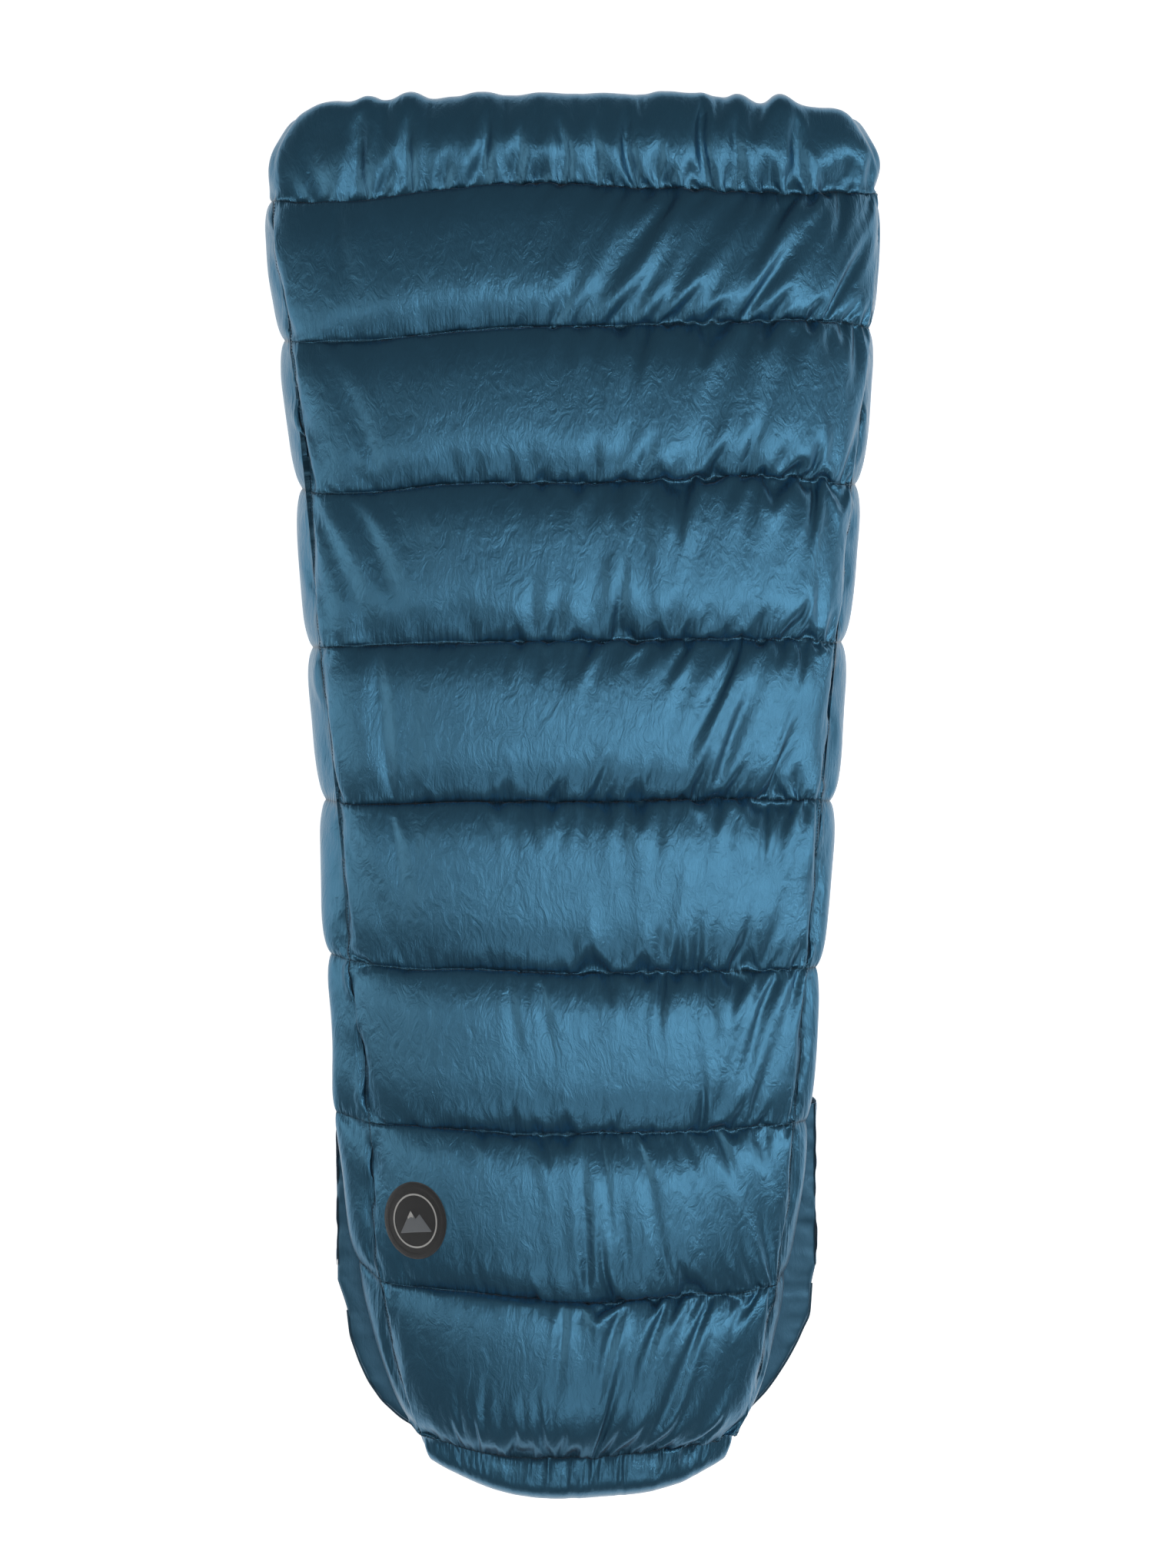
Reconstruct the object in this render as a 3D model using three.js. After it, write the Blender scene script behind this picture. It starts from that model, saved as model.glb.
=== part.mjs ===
// Camp quilt: a down-filled top quilt with a closed foot box and a pad sleeve under its foot part.
// Units are millimetres, +X to the quilt's right hand side seen from above, +Y towards the head, +Z up.
// The quilt is laid out as in use: arched over the room of a sleeping pad, sides down to the ground.
import * as THREE from 'three';

// ---------------------------------------------------------------- driving dimensions
const SHELL = 1.6;              // shell and lining stand-in thickness
const GAP = 0.5;                // clearance between neighbouring pieces
const INSIDE = 2.6;             // clearance between a fill and its fabric
const FILL_TOP = 34;            // down fill thickness at the crown of a top chamber
const FILL_SIDE = 13;           // down fill thickness in a side chamber
const CROWN_TOP = 27;           // rise of a top chamber above its seams
const CROWN_SIDE = 12;          // swell of a side chamber beyond its seams
const CROWN_FOOT_SIDE = 9;
const CROWN_COLLAR = 24;
const CROWN_FOOT_END = 22;
const BAFFLE = 1.2;             // baffle wall thickness
const HEM = 4;                  // height of the hem bindings
const FIRST_MOVING = 1, LAST_MOVING = 6;   // the side panels lift between these two cross seams
const SLEEVE_HALF_WIDTH = 321;  // sleeve for a pad 635 wide and 90 thick
const SLEEVE_HEIGHT = 91.5;
const SLEEVE_SHEET = 1.6;
const SLEEVE_MOUTH_Y = -425;
const SLEEVE_GUSSET_END_Y = -664;
const BADGE = { x: -209, y: -566, rx: 41, ry: 50, tilt: 0.10 };   // oval badge on the eighth chamber
const CENTRE = [-2.6, -8, 0];       // moves the middle of the base to the origin

// ---------------------------------------------------------------- stations
// Each row is one station along the length: the front hem, nose and brow of the collar, the nine
// cross seams, then the brow and tuck of the foot end. A row runs from the left hem (column 0) over the
// left long seam (4), the top, and the right long seam (12) to the right hem (16).
const STATIONS = [0.0, 0.2, 0.5, 1, 2, 3, 4, 5, 6, 7, 8, 9, 9.5, 10.0];
const SURFACE = [
  [[-322,818,0],[-341,836,18],[-355,852,40],[-355,863,58],[-345,871,74],[-271.9,879,92],[-179.3,881.4,94.1],[-87.7,882,94.9],[4,882,95],[94.7,882,94.9],[187.3,881.4,94.1],[279.9,879,92],[341,871,74],[351,863,58],[351,852,40],[337,836,18],[318,818,0]],
  [[-334,826,0],[-354,846,20],[-370,866,46],[-371,878,68],[-362,887,88],[-274.9,893,109],[-181.3,895.4,112.5],[-88.6,896,113.8],[4,896,114],[95.7,896,113.8],[189.3,895.4,112.5],[282.9,893,109],[358,887,88],[367,878,68],[366,866,46],[350,846,20],[330,826,0]],
  [[-348,812,0],[-372,822,22],[-391,834,56],[-394,844,82],[-390,850,99],[-279.2,855,122],[-184.2,857.4,131.9],[-90.1,858,135.5],[4,858,136],[97.1,858,135.5],[192.2,857.4,131.9],[287.2,855,122],[386,850,99],[390,844,82],[387,834,56],[368,822,22],[344,812,0]],
  [[-372,796.5,5],[-389.9,791.3,25.9],[-405.2,785.6,48.8],[-407.3,778.8,75.4],[-401.4,771.8,102],[-298.9,764.8,122.8],[-194.9,774.2,133.7],[-90.4,783.8,137.6],[14.6,784.2,138],[119.6,781,136.6],[224.3,776.8,129.1],[327.6,780.3,110.8],[400.9,790.5,66],[396.6,795.1,47.9],[396.1,799.8,29.3],[383.4,803.2,15.8],[367.8,805.9,5]],
  [[-363.6,606.3,5],[-383,602.4,25.4],[-391.6,597.4,52.1],[-388.3,591.7,79.7],[-378.5,585.8,106],[-280,581.8,125.8],[-179.9,588,136.1],[-79.4,594.9,139.7],[21.5,597.6,140],[122.3,601.6,138.6],[222.7,606.4,131.2],[321.8,612.8,113.6],[391.2,610.4,70],[392,614.1,51],[392.7,617.8,32.1],[383.4,620.9,16.2],[367.8,623.1,5]],
  [[-342.5,403.5,5],[-362.2,400.9,25.9],[-368.7,397.6,53.9],[-362.9,392.2,81.7],[-351.8,386.1,108],[-259.5,383.2,126.7],[-165.6,390.8,136.4],[-71,393.1,139.7],[23.7,393.9,140],[118.3,397.7,138.7],[212.5,404.1,132.1],[305.8,402.7,116.3],[367.3,400.2,80],[373.4,402.8,59.4],[376.1,405.5,38.2],[369.9,408.1,18.4],[353.1,409.8,5]],
  [[-325.7,187,5],[-347.2,185.9,25],[-354.1,184.2,53.6],[-349.5,182.6,82.8],[-340.3,181,111],[-251.9,182.7,127.9],[-162.3,184.2,136.7],[-72.3,185.3,139.7],[17.7,186.5,140],[107.7,188.4,138.9],[197.6,189.6,133.2],[286.5,189.9,119.1],[345.7,189.2,90],[353.3,190.6,67.1],[357.2,192.1,43.3],[352.9,193.5,20.1],[334.1,194.4,5]],
  [[-304.7,-21,5],[-328.7,-20.9,25.3],[-337,-20.5,55.6],[-327.9,-22.1,85.7],[-313.6,-24.4,114],[-234.7,-26.4,129],[-154.8,-24.4,137.3],[-74.5,-23.7,140.5],[5.9,-23.1,141],[86.3,-22.4,140.3],[166.5,-20.8,135.7],[246,-20.3,124.2],[323.8,-22,104],[337.7,-22.5,79.5],[338.7,-22.8,51.5],[331.2,-23,24.4],[311,-23.1,5]],
  [[-315.2,-226.6,68],[-326.2,-225.5,81.2],[-323.7,-225.7,96.6],[-311.4,-228.8,108.5],[-298.8,-232,120],[-224.9,-242.6,132.6],[-149.5,-243.5,140.2],[-73.7,-244.7,143.4],[2.1,-247.2,144],[77.9,-246.3,143.4],[153.7,-245.5,140.2],[229.1,-244.6,132.8],[303.9,-243.1,120],[310.2,-242.7,112.8],[316,-242.3,105.2],[317.6,-242.9,95.9],[313.2,-243.6,88]],
  [[-310.6,-435.3,93],[-317.9,-433.4,105.6],[-303.2,-436.7,115.2],[-287.8,-440.3,123.6],[-272.4,-444,132],[-203.3,-448.6,144.1],[-133.6,-453.2,151.6],[-63.4,-455.9,155.2],[7,-454.2,156],[77.3,-452.1,155.2],[147.5,-451.1,151.6],[217.5,-449.7,144.1],[286.6,-445,132],[293,-444.6,123.4],[299.1,-444.5,114.5],[302.9,-445.8,104.5],[303.4,-447.4,94]],
  [[-286,-633.3,94],[-287.1,-630.3,107.5],[-277.6,-636.1,118.3],[-267.7,-642.8,128.1],[-257.8,-649.5,138],[-194.3,-657.8,153],[-129.1,-661.7,163.2],[-63.4,-666.9,168.6],[2.6,-670.4,170],[68.7,-668.4,168.6],[134.5,-664.3,163.2],[199.8,-663.5,152.9],[262.8,-652.5,138],[267,-648.6,127.5],[271.1,-645,116.8],[273.8,-645.8,105.4],[272.7,-648.6,94]],
  [[-218.5,-845.5,95],[-219.4,-842.3,104],[-214.8,-843.4,112.6],[-209.5,-847,120.3],[-204.1,-850.7,128],[-154.6,-863.6,142.3],[-103.3,-872.9,152.5],[-50.6,-873.2,158.3],[2.5,-871.7,160],[55.6,-869.7,158.4],[108.3,-866.2,152.7],[160.1,-860.3,142.4],[210.1,-850.7,128],[212.9,-847.7,119.9],[215.6,-844.8,111.8],[217.3,-844.7,103.1],[215.5,-847.6,95]],
  [[-202.9,-872.7,96],[-203.7,-872.3,105],[-199.4,-874.3,108.3],[-194.4,-876.6,112.2],[-189.4,-878.8,116],[-143.4,-895.6,123.1],[-95.7,-906.7,128.2],[-46.7,-912.5,131.2],[2.7,-914,132],[52,-912.8,131.2],[101,-907.5,128.3],[149.2,-896.8,123.2],[195.8,-880.4,116],[198.3,-879.3,112],[200.8,-878.2,107.9],[202.5,-877.5,104.1],[200.7,-878.2,96]],
  [[-191.7,-864.5,97.8],[-192.5,-864.2,98.4],[-188.4,-865.6,98.9],[-183.7,-867.2,99.3],[-179,-868.7,99.8],[-135.4,-880.3,100.7],[-90.3,-888,101.3],[-43.9,-892,101.6],[2.8,-893,101.7],[49.5,-892.2,101.6],[95.9,-888.5,101.3],[141.4,-881.1,100.7],[185.5,-869.8,99.8],[187.9,-869,99.3],[190.3,-868.3,98.8],[191.9,-867.8,98.3],[190.2,-868.3,97.8]]
];
// from each outer point to the lining behind it
const DEPTH = [
  [[7,-6.5,0.5],[7,-6.5,0.5],[7,-6.5,0.5],[7,-6.5,0.5],[7,-6.5,0.5],[0,-8.5,1],[0,-8.5,1],[0,-8.5,1],[0,-8.5,1],[0,-8.5,1],[0,-8.5,1],[0,-8.5,1],[-7,-6.5,0.5],[-7,-6.5,0.5],[-7,-6.5,0.5],[-7,-6.5,0.5],[-7,-6.5,0.5]],
  [[6.6,-15,1.3],[9.3,-15,1.1],[12.6,-15,0],[14,-15,-1],[10,-22,-9],[2,-30,-10.8],[1,-30,-12.4],[0.3,-30,-13.1],[-0.1,-30,-13.1],[-0.6,-30,-13.1],[-1.8,-30,-12.3],[-4.3,-30,-10.2],[-10,-22,-9],[-11.2,-15,-0.4],[-10.5,-15,0],[-8.6,-15,0.9],[-6.6,-15,1.3]],
  [[6.4,-8,3.2],[13.2,-8,2.7],[21.6,-8,0],[25.1,-8,-2.5],[20.4,-12,-18],[4.8,-19.8,-31.5],[2.6,-20.1,-35.9],[0.8,-20.1,-37.8],[-0.2,-20.1,-37.8],[-1.6,-20.1,-37.8],[-4.4,-20.1,-35.7],[-10.9,-20.1,-30.5],[-19.1,-12,-8.3],[-18,-8,-0.9],[-16.2,-8,0],[-11.5,-8,2.4],[-6.4,-8,3.2]],
  [[7.2,0,3.6],[14.7,0,3],[24,0,0],[27.9,0,-2.8],[25.5,0,-22.5],[5,-0.1,-32.3],[2.9,-0.1,-39.9],[0.9,-0.1,-42],[-0.2,-0.1,-42],[-1.8,-0.1,-42],[-4.8,-0.1,-38.6],[-7.2,-0.1,-20.3],[-23.8,0,-10.4],[-20,0,-1],[-18,0,0],[-12.7,0,2.6],[-7.2,0,3.6]],
  [[7.2,0,3.6],[14.7,0,3],[24,0,0],[27.9,0,-2.8],[25.5,0,-22.5],[5.4,0.2,-35.3],[2.8,-0.1,-39.9],[0.8,-0.2,-42],[-0.2,-0.2,-42],[-1.8,-0.2,-42],[-5,-0.2,-39.7],[-8.4,0.2,-23.1],[-23.8,0,-10.4],[-20,0,-1],[-18,0,0],[-12.7,0,2.6],[-7.2,0,3.6]],
  [[7.2,0,3.6],[14.7,0,3],[24,0,0],[27.9,0,-2.8],[25.5,0,-22.5],[5.4,0.2,-35.6],[2.7,0.1,-39.9],[0.8,0,-42],[-0.2,0,-42],[-1.7,0,-42],[-4.8,0.1,-39.7],[-8.7,0.4,-25.8],[-23.8,0,-10.4],[-20,0,-1],[-18,0,0],[-12.7,0,2.6],[-7.2,0,3.6]],
  [[7.2,0,3.6],[14.7,0,3],[24,0,0],[27.9,0,-2.8],[25.5,0,-22.5],[5.1,0.1,-35.6],[2.6,-0,-39.9],[0.8,-0.1,-42],[-0.2,-0.1,-42],[-1.6,-0,-42],[-4.4,0.1,-39.8],[-8.3,0.6,-28.6],[-23.8,0,-10.4],[-20,0,-1],[-18,0,0],[-12.7,0,2.6],[-7.2,0,3.6]],
  [[7.2,0,3.6],[11.8,0,2.4],[17,0,0],[19.9,0,-2],[22.5,0,-19.8],[5.2,-0.1,-35.6],[2.9,-0.2,-39.9],[1,-0.4,-42],[-0.1,-0.4,-42],[-1.4,-0.3,-42],[-4,-0.2,-39.8],[-6.8,-0.2,-33.7],[-22,0,-9.6],[-15,0,-0.7],[-14,0,0],[-10.8,0,2.2],[-7.2,0,3.6]],
  [[5.5,0,2.4],[9,0,0.9],[11.9,0,-1.2],[15.3,0,-4.8],[18.4,0,-18.4],[5.5,-1.1,-41.6],[3,-1.3,-41.9],[1,-1.4,-42],[-0,-1.5,-42],[-1,-1.4,-42],[-2.9,-1.4,-41.9],[-5.6,-1.6,-41.6],[-18.4,0,-18.4],[-15.3,0,-4.8],[-11.9,0,-1.2],[-9,0,0.9],[-5.5,0,2.4]],
  [[5.5,0,2.4],[8,0,0.8],[10,0,-1],[13.4,0,-4.2],[18.4,0,-18.4],[5.8,-1.6,-41.6],[3.4,-2.3,-43.8],[1.3,-2.6,-43.9],[0.1,-2.7,-43.9],[-1.3,-2.6,-43.9],[-3.4,-2.2,-43.8],[-5.8,-1.6,-41.6],[-18.4,0,-18.4],[-13.4,0,-4.2],[-10,0,-1],[-8,0,0.8],[-5.5,0,2.4]],
  [[5.5,0,2.4],[7,0,0.7],[9,0,-0.9],[11.4,0,-3.6],[15.6,0,-15.6],[7.8,1.1,-39.2],[5.2,0.3,-43.7],[2.2,-0.3,-43.9],[-0,-0.4,-44],[-2.3,-0.2,-43.9],[-5.2,0.4,-43.7],[-7.8,1.2,-39.2],[-15.6,0,-15.6],[-11.4,0,-3.6],[-9,0,-0.9],[-7,0,0.7],[-5.5,0,2.4]],
  [[5.5,0,2.4],[6,0,0.6],[7,0,-0.7],[8.6,0,-2.7],[9.9,0,-9.9],[8.7,1.1,-30.8],[6.7,1.3,-39.4],[2.9,1.3,-41.9],[-0.2,1.3,-42],[-3.3,1.3,-41.9],[-6.6,1.3,-39.4],[-8.3,1.1,-30.9],[-9.9,0,-9.9],[-8.6,0,-2.7],[-7,0,-0.7],[-6,0,0.6],[-5.5,0,2.4]],
  [[3,3.7,1.3],[3.3,4.3,0.3],[3.8,5.6,-0.4],[4.7,7.4,-1.5],[5.4,11.1,-5.4],[4.8,20.4,-16.9],[3.7,25.5,-21.7],[1.6,26.7,-23],[-0.1,26.7,-23.1],[-1.8,26.7,-23],[-3.6,25.5,-21.7],[-4.6,20.4,-17],[-5.4,11.1,-5.4],[-4.7,7.4,-1.5],[-3.8,5.6,-0.4],[-3.3,4.3,0.3],[-3,3.7,1.3]],
  [[6,6,0.3],[6,6,0.3],[6,6,0.3],[6,6,0.3],[0,8.5,0.5],[0,8.5,0.5],[0,8.5,0.5],[0,8.5,0.5],[0,8.5,0.5],[0,8.5,0.5],[0,8.5,0.5],[0,8.5,0.5],[0,8.5,0.5],[-6,6,0.3],[-6,6,0.3],[-6,6,0.3],[-6,6,0.3]]
];

// ---------------------------------------------------------------- surface
const sub = (a, b) => [a[0] - b[0], a[1] - b[1], a[2] - b[2]];
const add = (a, b) => [a[0] + b[0], a[1] + b[1], a[2] + b[2]];
const mul = (a, k) => [a[0] * k, a[1] * k, a[2] * k];
const len = (a) => Math.hypot(a[0], a[1], a[2]);
const cross = (a, b) => [a[1] * b[2] - a[2] * b[1], a[2] * b[0] - a[0] * b[2], a[0] * b[1] - a[1] * b[0]];
const unit = (a) => mul(a, 1 / (len(a) || 1));
const clamp = (x, a, b) => Math.min(b, Math.max(a, x));

function bilinear(net, u, v) {
  let i = 0;
  while (i < STATIONS.length - 2 && v > STATIONS[i + 1]) i++;
  const t = (v - STATIONS[i]) / (STATIONS[i + 1] - STATIONS[i]);
  const j = clamp(Math.floor(u), 0, 15), s = u - j;
  const a = add(mul(net[i][j], 1 - s), mul(net[i][j + 1], s));
  const b = add(mul(net[i + 1][j], 1 - s), mul(net[i + 1][j + 1], s));
  return add(mul(a, 1 - t), mul(b, t));
}
function normal(u, v) {
  const e = 0.25;
  const du = sub(bilinear(SURFACE, clamp(u + e, 0, 16), v), bilinear(SURFACE, clamp(u - e, 0, 16), v));
  const dv = sub(bilinear(SURFACE, u, clamp(v + 0.12, 0, 10)), bilinear(SURFACE, u, clamp(v - 0.12, 0, 10)));
  return unit(cross(dv, du));
}
function ramp(table, x) {
  for (let i = 1; i < table.length; i++)
    if (x <= table[i][0]) {
      const t = (x - table[i - 1][0]) / (table[i][0] - table[i - 1][0]);
      return table[i - 1][1] * (1 - t) + table[i][1] * t;
    }
  return table[table.length - 1][1];
}
function across(u) {            // 0 at the hems and long seams, 1 in the middle of a panel
  if (u <= 4) return Math.pow(Math.sin(Math.PI * clamp(u, 0, 4) / 4), 0.8);
  if (u >= 12) return Math.pow(Math.sin(Math.PI * clamp(16 - u, 0, 4) / 4), 0.8);
  return Math.pow(1 - Math.pow(Math.abs((u - 8) / 4), 5), 0.8);
}
function along(v) {             // 0 at a cross seam, 1 in the middle of a chamber
  if (v < 1) return ramp([[0, 0], [0.2, 1], [0.5, 0.95], [0.75, 0.8], [1, 0]], v);
  if (v > 9) return ramp([[9, 0], [9.25, 0.8], [9.5, 1], [9.75, 0.8], [10, 0]], v);
  const s = Math.abs(2 * (v - Math.floor(v)) - 1);
  return Math.pow(Math.max(0, 1 - Math.pow(s, 2.4)), 0.85);
}
function crown(u, v) {
  const side = u < 4 || u > 12;
  if (v < 1) return CROWN_COLLAR * (side ? 0.6 : 1);
  if (v > 9) return side ? CROWN_FOOT_SIDE : CROWN_FOOT_END;
  return side ? (v > LAST_MOVING ? CROWN_FOOT_SIDE : CROWN_SIDE) : CROWN_TOP;
}
const smooth = (u, v) => add(bilinear(SURFACE, u, v), mul(normal(u, v), crown(u, v) * across(u) * along(v)));
// the faceted surface that every solid shares: smooth() at the corners of a lattice, straight between them
const LU = [0, 1, 2, 3, 4, 4.5, 5, 6, 7, 8, 9, 10, 11, 11.5, 12, 13, 14, 15, 16];
const LV = [0, 0.2, 0.5, 0.75];
for (let k = 1; k < 9; k++) for (let i = 0; i < 5; i++) LV.push(k + i / 5);
LV.push(9, 9.25, 9.5, 9.75, 10);
const corner = new Map();
function latticePoint(i, j) {
  const key = i * 100 + j;
  if (!corner.has(key)) corner.set(key, smooth(LU[i], LV[j]));
  return corner.get(key);
}
function outer(u, v) {
  let i = 0, j = 0;
  while (i < LU.length - 2 && u > LU[i + 1]) i++;
  while (j < LV.length - 2 && v > LV[j + 1]) j++;
  const s = (u - LU[i]) / (LU[i + 1] - LU[i]), t = (v - LV[j]) / (LV[j + 1] - LV[j]);
  const a = add(mul(latticePoint(i, j), 1 - s), mul(latticePoint(i + 1, j), s));
  const b = add(mul(latticePoint(i, j + 1), 1 - s), mul(latticePoint(i + 1, j + 1), s));
  return add(mul(a, 1 - t), mul(b, t));
}
const inner = (u, v) => add(bilinear(SURFACE, u, v), bilinear(DEPTH, u, v));
function at(u, v, depth) {      // the point `depth` millimetres in from the outer surface, towards the lining
  const o = outer(u, v), l = inner(u, v), d = sub(l, o);
  return add(o, mul(d, depth / len(d)));
}
const room = (u, v) => len(sub(inner(u, v), outer(u, v)));

// ---------------------------------------------------------------- solids
const group = new THREE.Group();
const placed = new THREE.Group();
placed.position.set(-CENTRE[0], -CENTRE[1], -CENTRE[2]);
group.add(placed);

function addMesh(name, geometry, color, roughness = 0.45) {
  const mesh = new THREE.Mesh(geometry, new THREE.MeshStandardMaterial({ color, roughness, metalness: 0 }));
  mesh.name = name;
  placed.add(mesh);
  return mesh;
}
function closed(points, faces) {
  let vol = 0;
  for (const [a, b, c] of faces) {
    const p = points[a], q = points[b], r = points[c];
    vol += (p[0] * (q[1] * r[2] - q[2] * r[1]) - p[1] * (q[0] * r[2] - q[2] * r[0]) + p[2] * (q[0] * r[1] - q[1] * r[0])) / 6;
  }
  const geometry = new THREE.BufferGeometry();
  geometry.setAttribute('position', new THREE.Float32BufferAttribute(points.flat(), 3));
  geometry.setIndex((vol < 0 ? faces.map(([a, b, c]) => [a, c, b]) : faces).flat());
  geometry.computeVertexNormals();
  return geometry;
}
// a curved slab: a grid of outer points, the matching grid of inner points and the rim between them
function slab(us, vs, top, bottom) {
  const nu = us.length, nv = vs.length, points = [], faces = [];
  for (const f of [top, bottom]) for (const v of vs) for (const u of us) points.push(f(u, v));
  const id = (k, i, j) => k * nu * nv + j * nu + i;
  const quad = (a, b, c, d) => faces.push([a, b, c], [a, c, d]);
  for (let j = 0; j < nv - 1; j++)
    for (let i = 0; i < nu - 1; i++) {
      quad(id(0, i, j), id(0, i + 1, j), id(0, i + 1, j + 1), id(0, i, j + 1));
      quad(id(1, i, j), id(1, i, j + 1), id(1, i + 1, j + 1), id(1, i + 1, j));
    }
  for (let i = 0; i < nu - 1; i++) {
    quad(id(0, i, 0), id(1, i, 0), id(1, i + 1, 0), id(0, i + 1, 0));
    quad(id(0, i, nv - 1), id(0, i + 1, nv - 1), id(1, i + 1, nv - 1), id(1, i, nv - 1));
  }
  for (let j = 0; j < nv - 1; j++) {
    quad(id(0, 0, j), id(0, 0, j + 1), id(1, 0, j + 1), id(1, 0, j));
    quad(id(0, nu - 1, j), id(1, nu - 1, j), id(1, nu - 1, j + 1), id(0, nu - 1, j + 1));
  }
  return closed(points, faces);
}
const span = (a, b, n) => Array.from({ length: n + 1 }, (_, i) => a + (b - a) * i / n);
function stationsIn(a, b, perChamber) {   // samples on the lattice between a and b, with both ends
  const out = [a];
  for (let k = Math.floor(a); k < Math.ceil(b); k++)
    for (let i = 0; i < perChamber; i++) {
      const v = k + i / perChamber;
      if (v > a + 1e-6 && v < b - 1e-6) out.push(v);
    }
  out.push(b);
  return out;
}
const E = 0.012;                // half the clearance at a cross seam, in stations
const EU = 0.02;                // half the clearance at a long seam, in columns
const EM = 0.03, EUM = 0.26;    // the same where a side panel turns
const TOP_U = [4 + EU, 4.5, 5, 6, 7, 8, 9, 10, 11, 11.5, 12 - EU];
const LEFT_U = [0.03, 1, 2, 3, 4 - EU];
const RIGHT_U = [12 + EU, 13, 14, 15, 15.97];
const LEFT_MU = [0.03, 1, 2, 3, 4 - EUM];
const RIGHT_MU = [12 + EUM, 13, 14, 15, 15.97];
const ALL_U = [0.03, 1, 2, 3, 4, 4.5, 5, 6, 7, 8, 9, 10, 11, 11.5, 12, 13, 14, 15, 15.97];
const COLLAR_V = [0.02, 0.2, 0.5, 0.75, 1 - E];
const FOOT_V = [9 + E, 9.25, 9.5, 9.7, 9.85];
const FOOT_LV = [9 + E, 9.25, 9.5, 9.6];

// the direction across a cloth, from the surface around it, pointing to the side that `towards` is on
function across3(f, u, v, towards) {
  const hu = 0.35, hv = 0.12;
  const u0 = clamp(u - hu, 0, 16), u1 = clamp(u + hu, 0, 16), v0 = clamp(v - hv, 0, 10), v1 = clamp(v + hv, 0, 10);
  const a = sub(f(u1, v), f(u0, v)), b = sub(f(u, v1), f(u, v0));
  const n = unit([a[1] * b[2] - a[2] * b[1], a[2] * b[0] - a[0] * b[2], a[0] * b[1] - a[1] * b[0]]);
  const t = unit(towards), d = n[0] * t[0] + n[1] * t[1] + n[2] * t[2];
  return d < 0 ? mul(n, -1) : n;
}
const shellOf = (us, vs) => slab(us, vs, (u, v) => at(u, v, 0), (u, v) => at(u, v, SHELL));
const liningOf = (us, vs) => slab(us, vs, (u, v) => at(u, v, room(u, v) - SHELL), (u, v) => at(u, v, room(u, v)));
const sideLiningOf = (us, vs) => slab(us, vs,
  (u, v) => add(inner(u, v), mul(across3(inner, u, v, sub(outer(u, v), inner(u, v))), SHELL)), (u, v) => inner(u, v));
function fillOf(us, vs, thick) {
  const a = SHELL + INSIDE;
  return slab(us, vs,
    (u, v) => at(u, v, a),
    (u, v) => {
      const most = room(u, v) - a - SHELL - INSIDE * 0.7;
      const want = thick * (0.35 + 0.65 * across(clamp(u, us[0] + 0.2, us[us.length - 1] - 0.2)) * along(v));
      return at(u, v, a + clamp(want, 1.2, Math.max(1.2, most)));
    });
}
const BLUE = 0x1f5266, DEEP = 0x184456, WHITE = 0xe9e7e0, GREY = 0x3d4a50;

// outer fabric
addMesh('outer_top_panel', shellOf(TOP_U, stationsIn(1 + E, 9 - E, 5)), BLUE);
addMesh('head_collar_shell', shellOf(ALL_U, [0.08, 0.2, 0.5, 0.75, 1 - E]), BLUE);
addMesh('foot_end_shell', shellOf(ALL_U, FOOT_V), BLUE);
addMesh('left_side_shell', shellOf(LEFT_MU, stationsIn(FIRST_MOVING + EM, LAST_MOVING - EM, 5)), BLUE);
addMesh('right_side_shell', shellOf(RIGHT_MU, stationsIn(FIRST_MOVING + EM, LAST_MOVING - EM, 5)), BLUE);
addMesh('left_foot_side_shell', shellOf(LEFT_U, stationsIn(LAST_MOVING + E, 9 - E, 5)), BLUE);
addMesh('right_foot_side_shell', shellOf(RIGHT_U, stationsIn(LAST_MOVING + E, 9 - E, 5)), BLUE);

// lining
addMesh('top_lining', liningOf([5 + EU, 6, 7, 8, 9, 10, 11 - EU], stationsIn(1 + E, 9 - E, 2)), DEEP);
addMesh('left_lining_strip', liningOf([4 + EU, 4.5, 5 - EU], stationsIn(1 + E, 9 - E, 2)), DEEP);
addMesh('right_lining_strip', liningOf([11 + EU, 11.5, 12 - EU], stationsIn(1 + E, 9 - E, 2)), DEEP);
addMesh('collar_lining', liningOf(ALL_U, COLLAR_V), DEEP);
addMesh('foot_end_lining', liningOf(ALL_U, FOOT_LV), DEEP);
addMesh('left_side_lining', sideLiningOf(LEFT_MU, stationsIn(FIRST_MOVING + EM, LAST_MOVING - EM, 2)), DEEP);
addMesh('right_side_lining', sideLiningOf(RIGHT_MU, stationsIn(FIRST_MOVING + EM, LAST_MOVING - EM, 2)), DEEP);
addMesh('left_foot_side_lining', sideLiningOf([0.03, 1, 2, 3, 3.9], stationsIn(LAST_MOVING + E, 9 - E, 2)), DEEP);
addMesh('right_foot_side_lining', sideLiningOf([12.1, 13, 14, 15, 15.97], stationsIn(LAST_MOVING + E, 9 - E, 2)), DEEP);

// baffle walls, between the outer fabric and the lining at each cross seam
for (let k = 1; k <= 9; k++) {
  const us = [4.06, 4.5, 5, 6, 7, 8, 9, 10, 11, 11.5, 11.94], h = BAFFLE / 2 / 205;
  const a = SHELL + GAP;
  addMesh(`baffle_${k}`, slab(us, [k - h, k + h], (u, v) => at(u, k, a).map((q, n) => n === 1 ? q + (k - v) * 205 : q),
    (u, v) => at(u, k, room(u, k) - a).map((q, n) => n === 1 ? q + (k - v) * 205 : q)), GREY);
}

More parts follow.
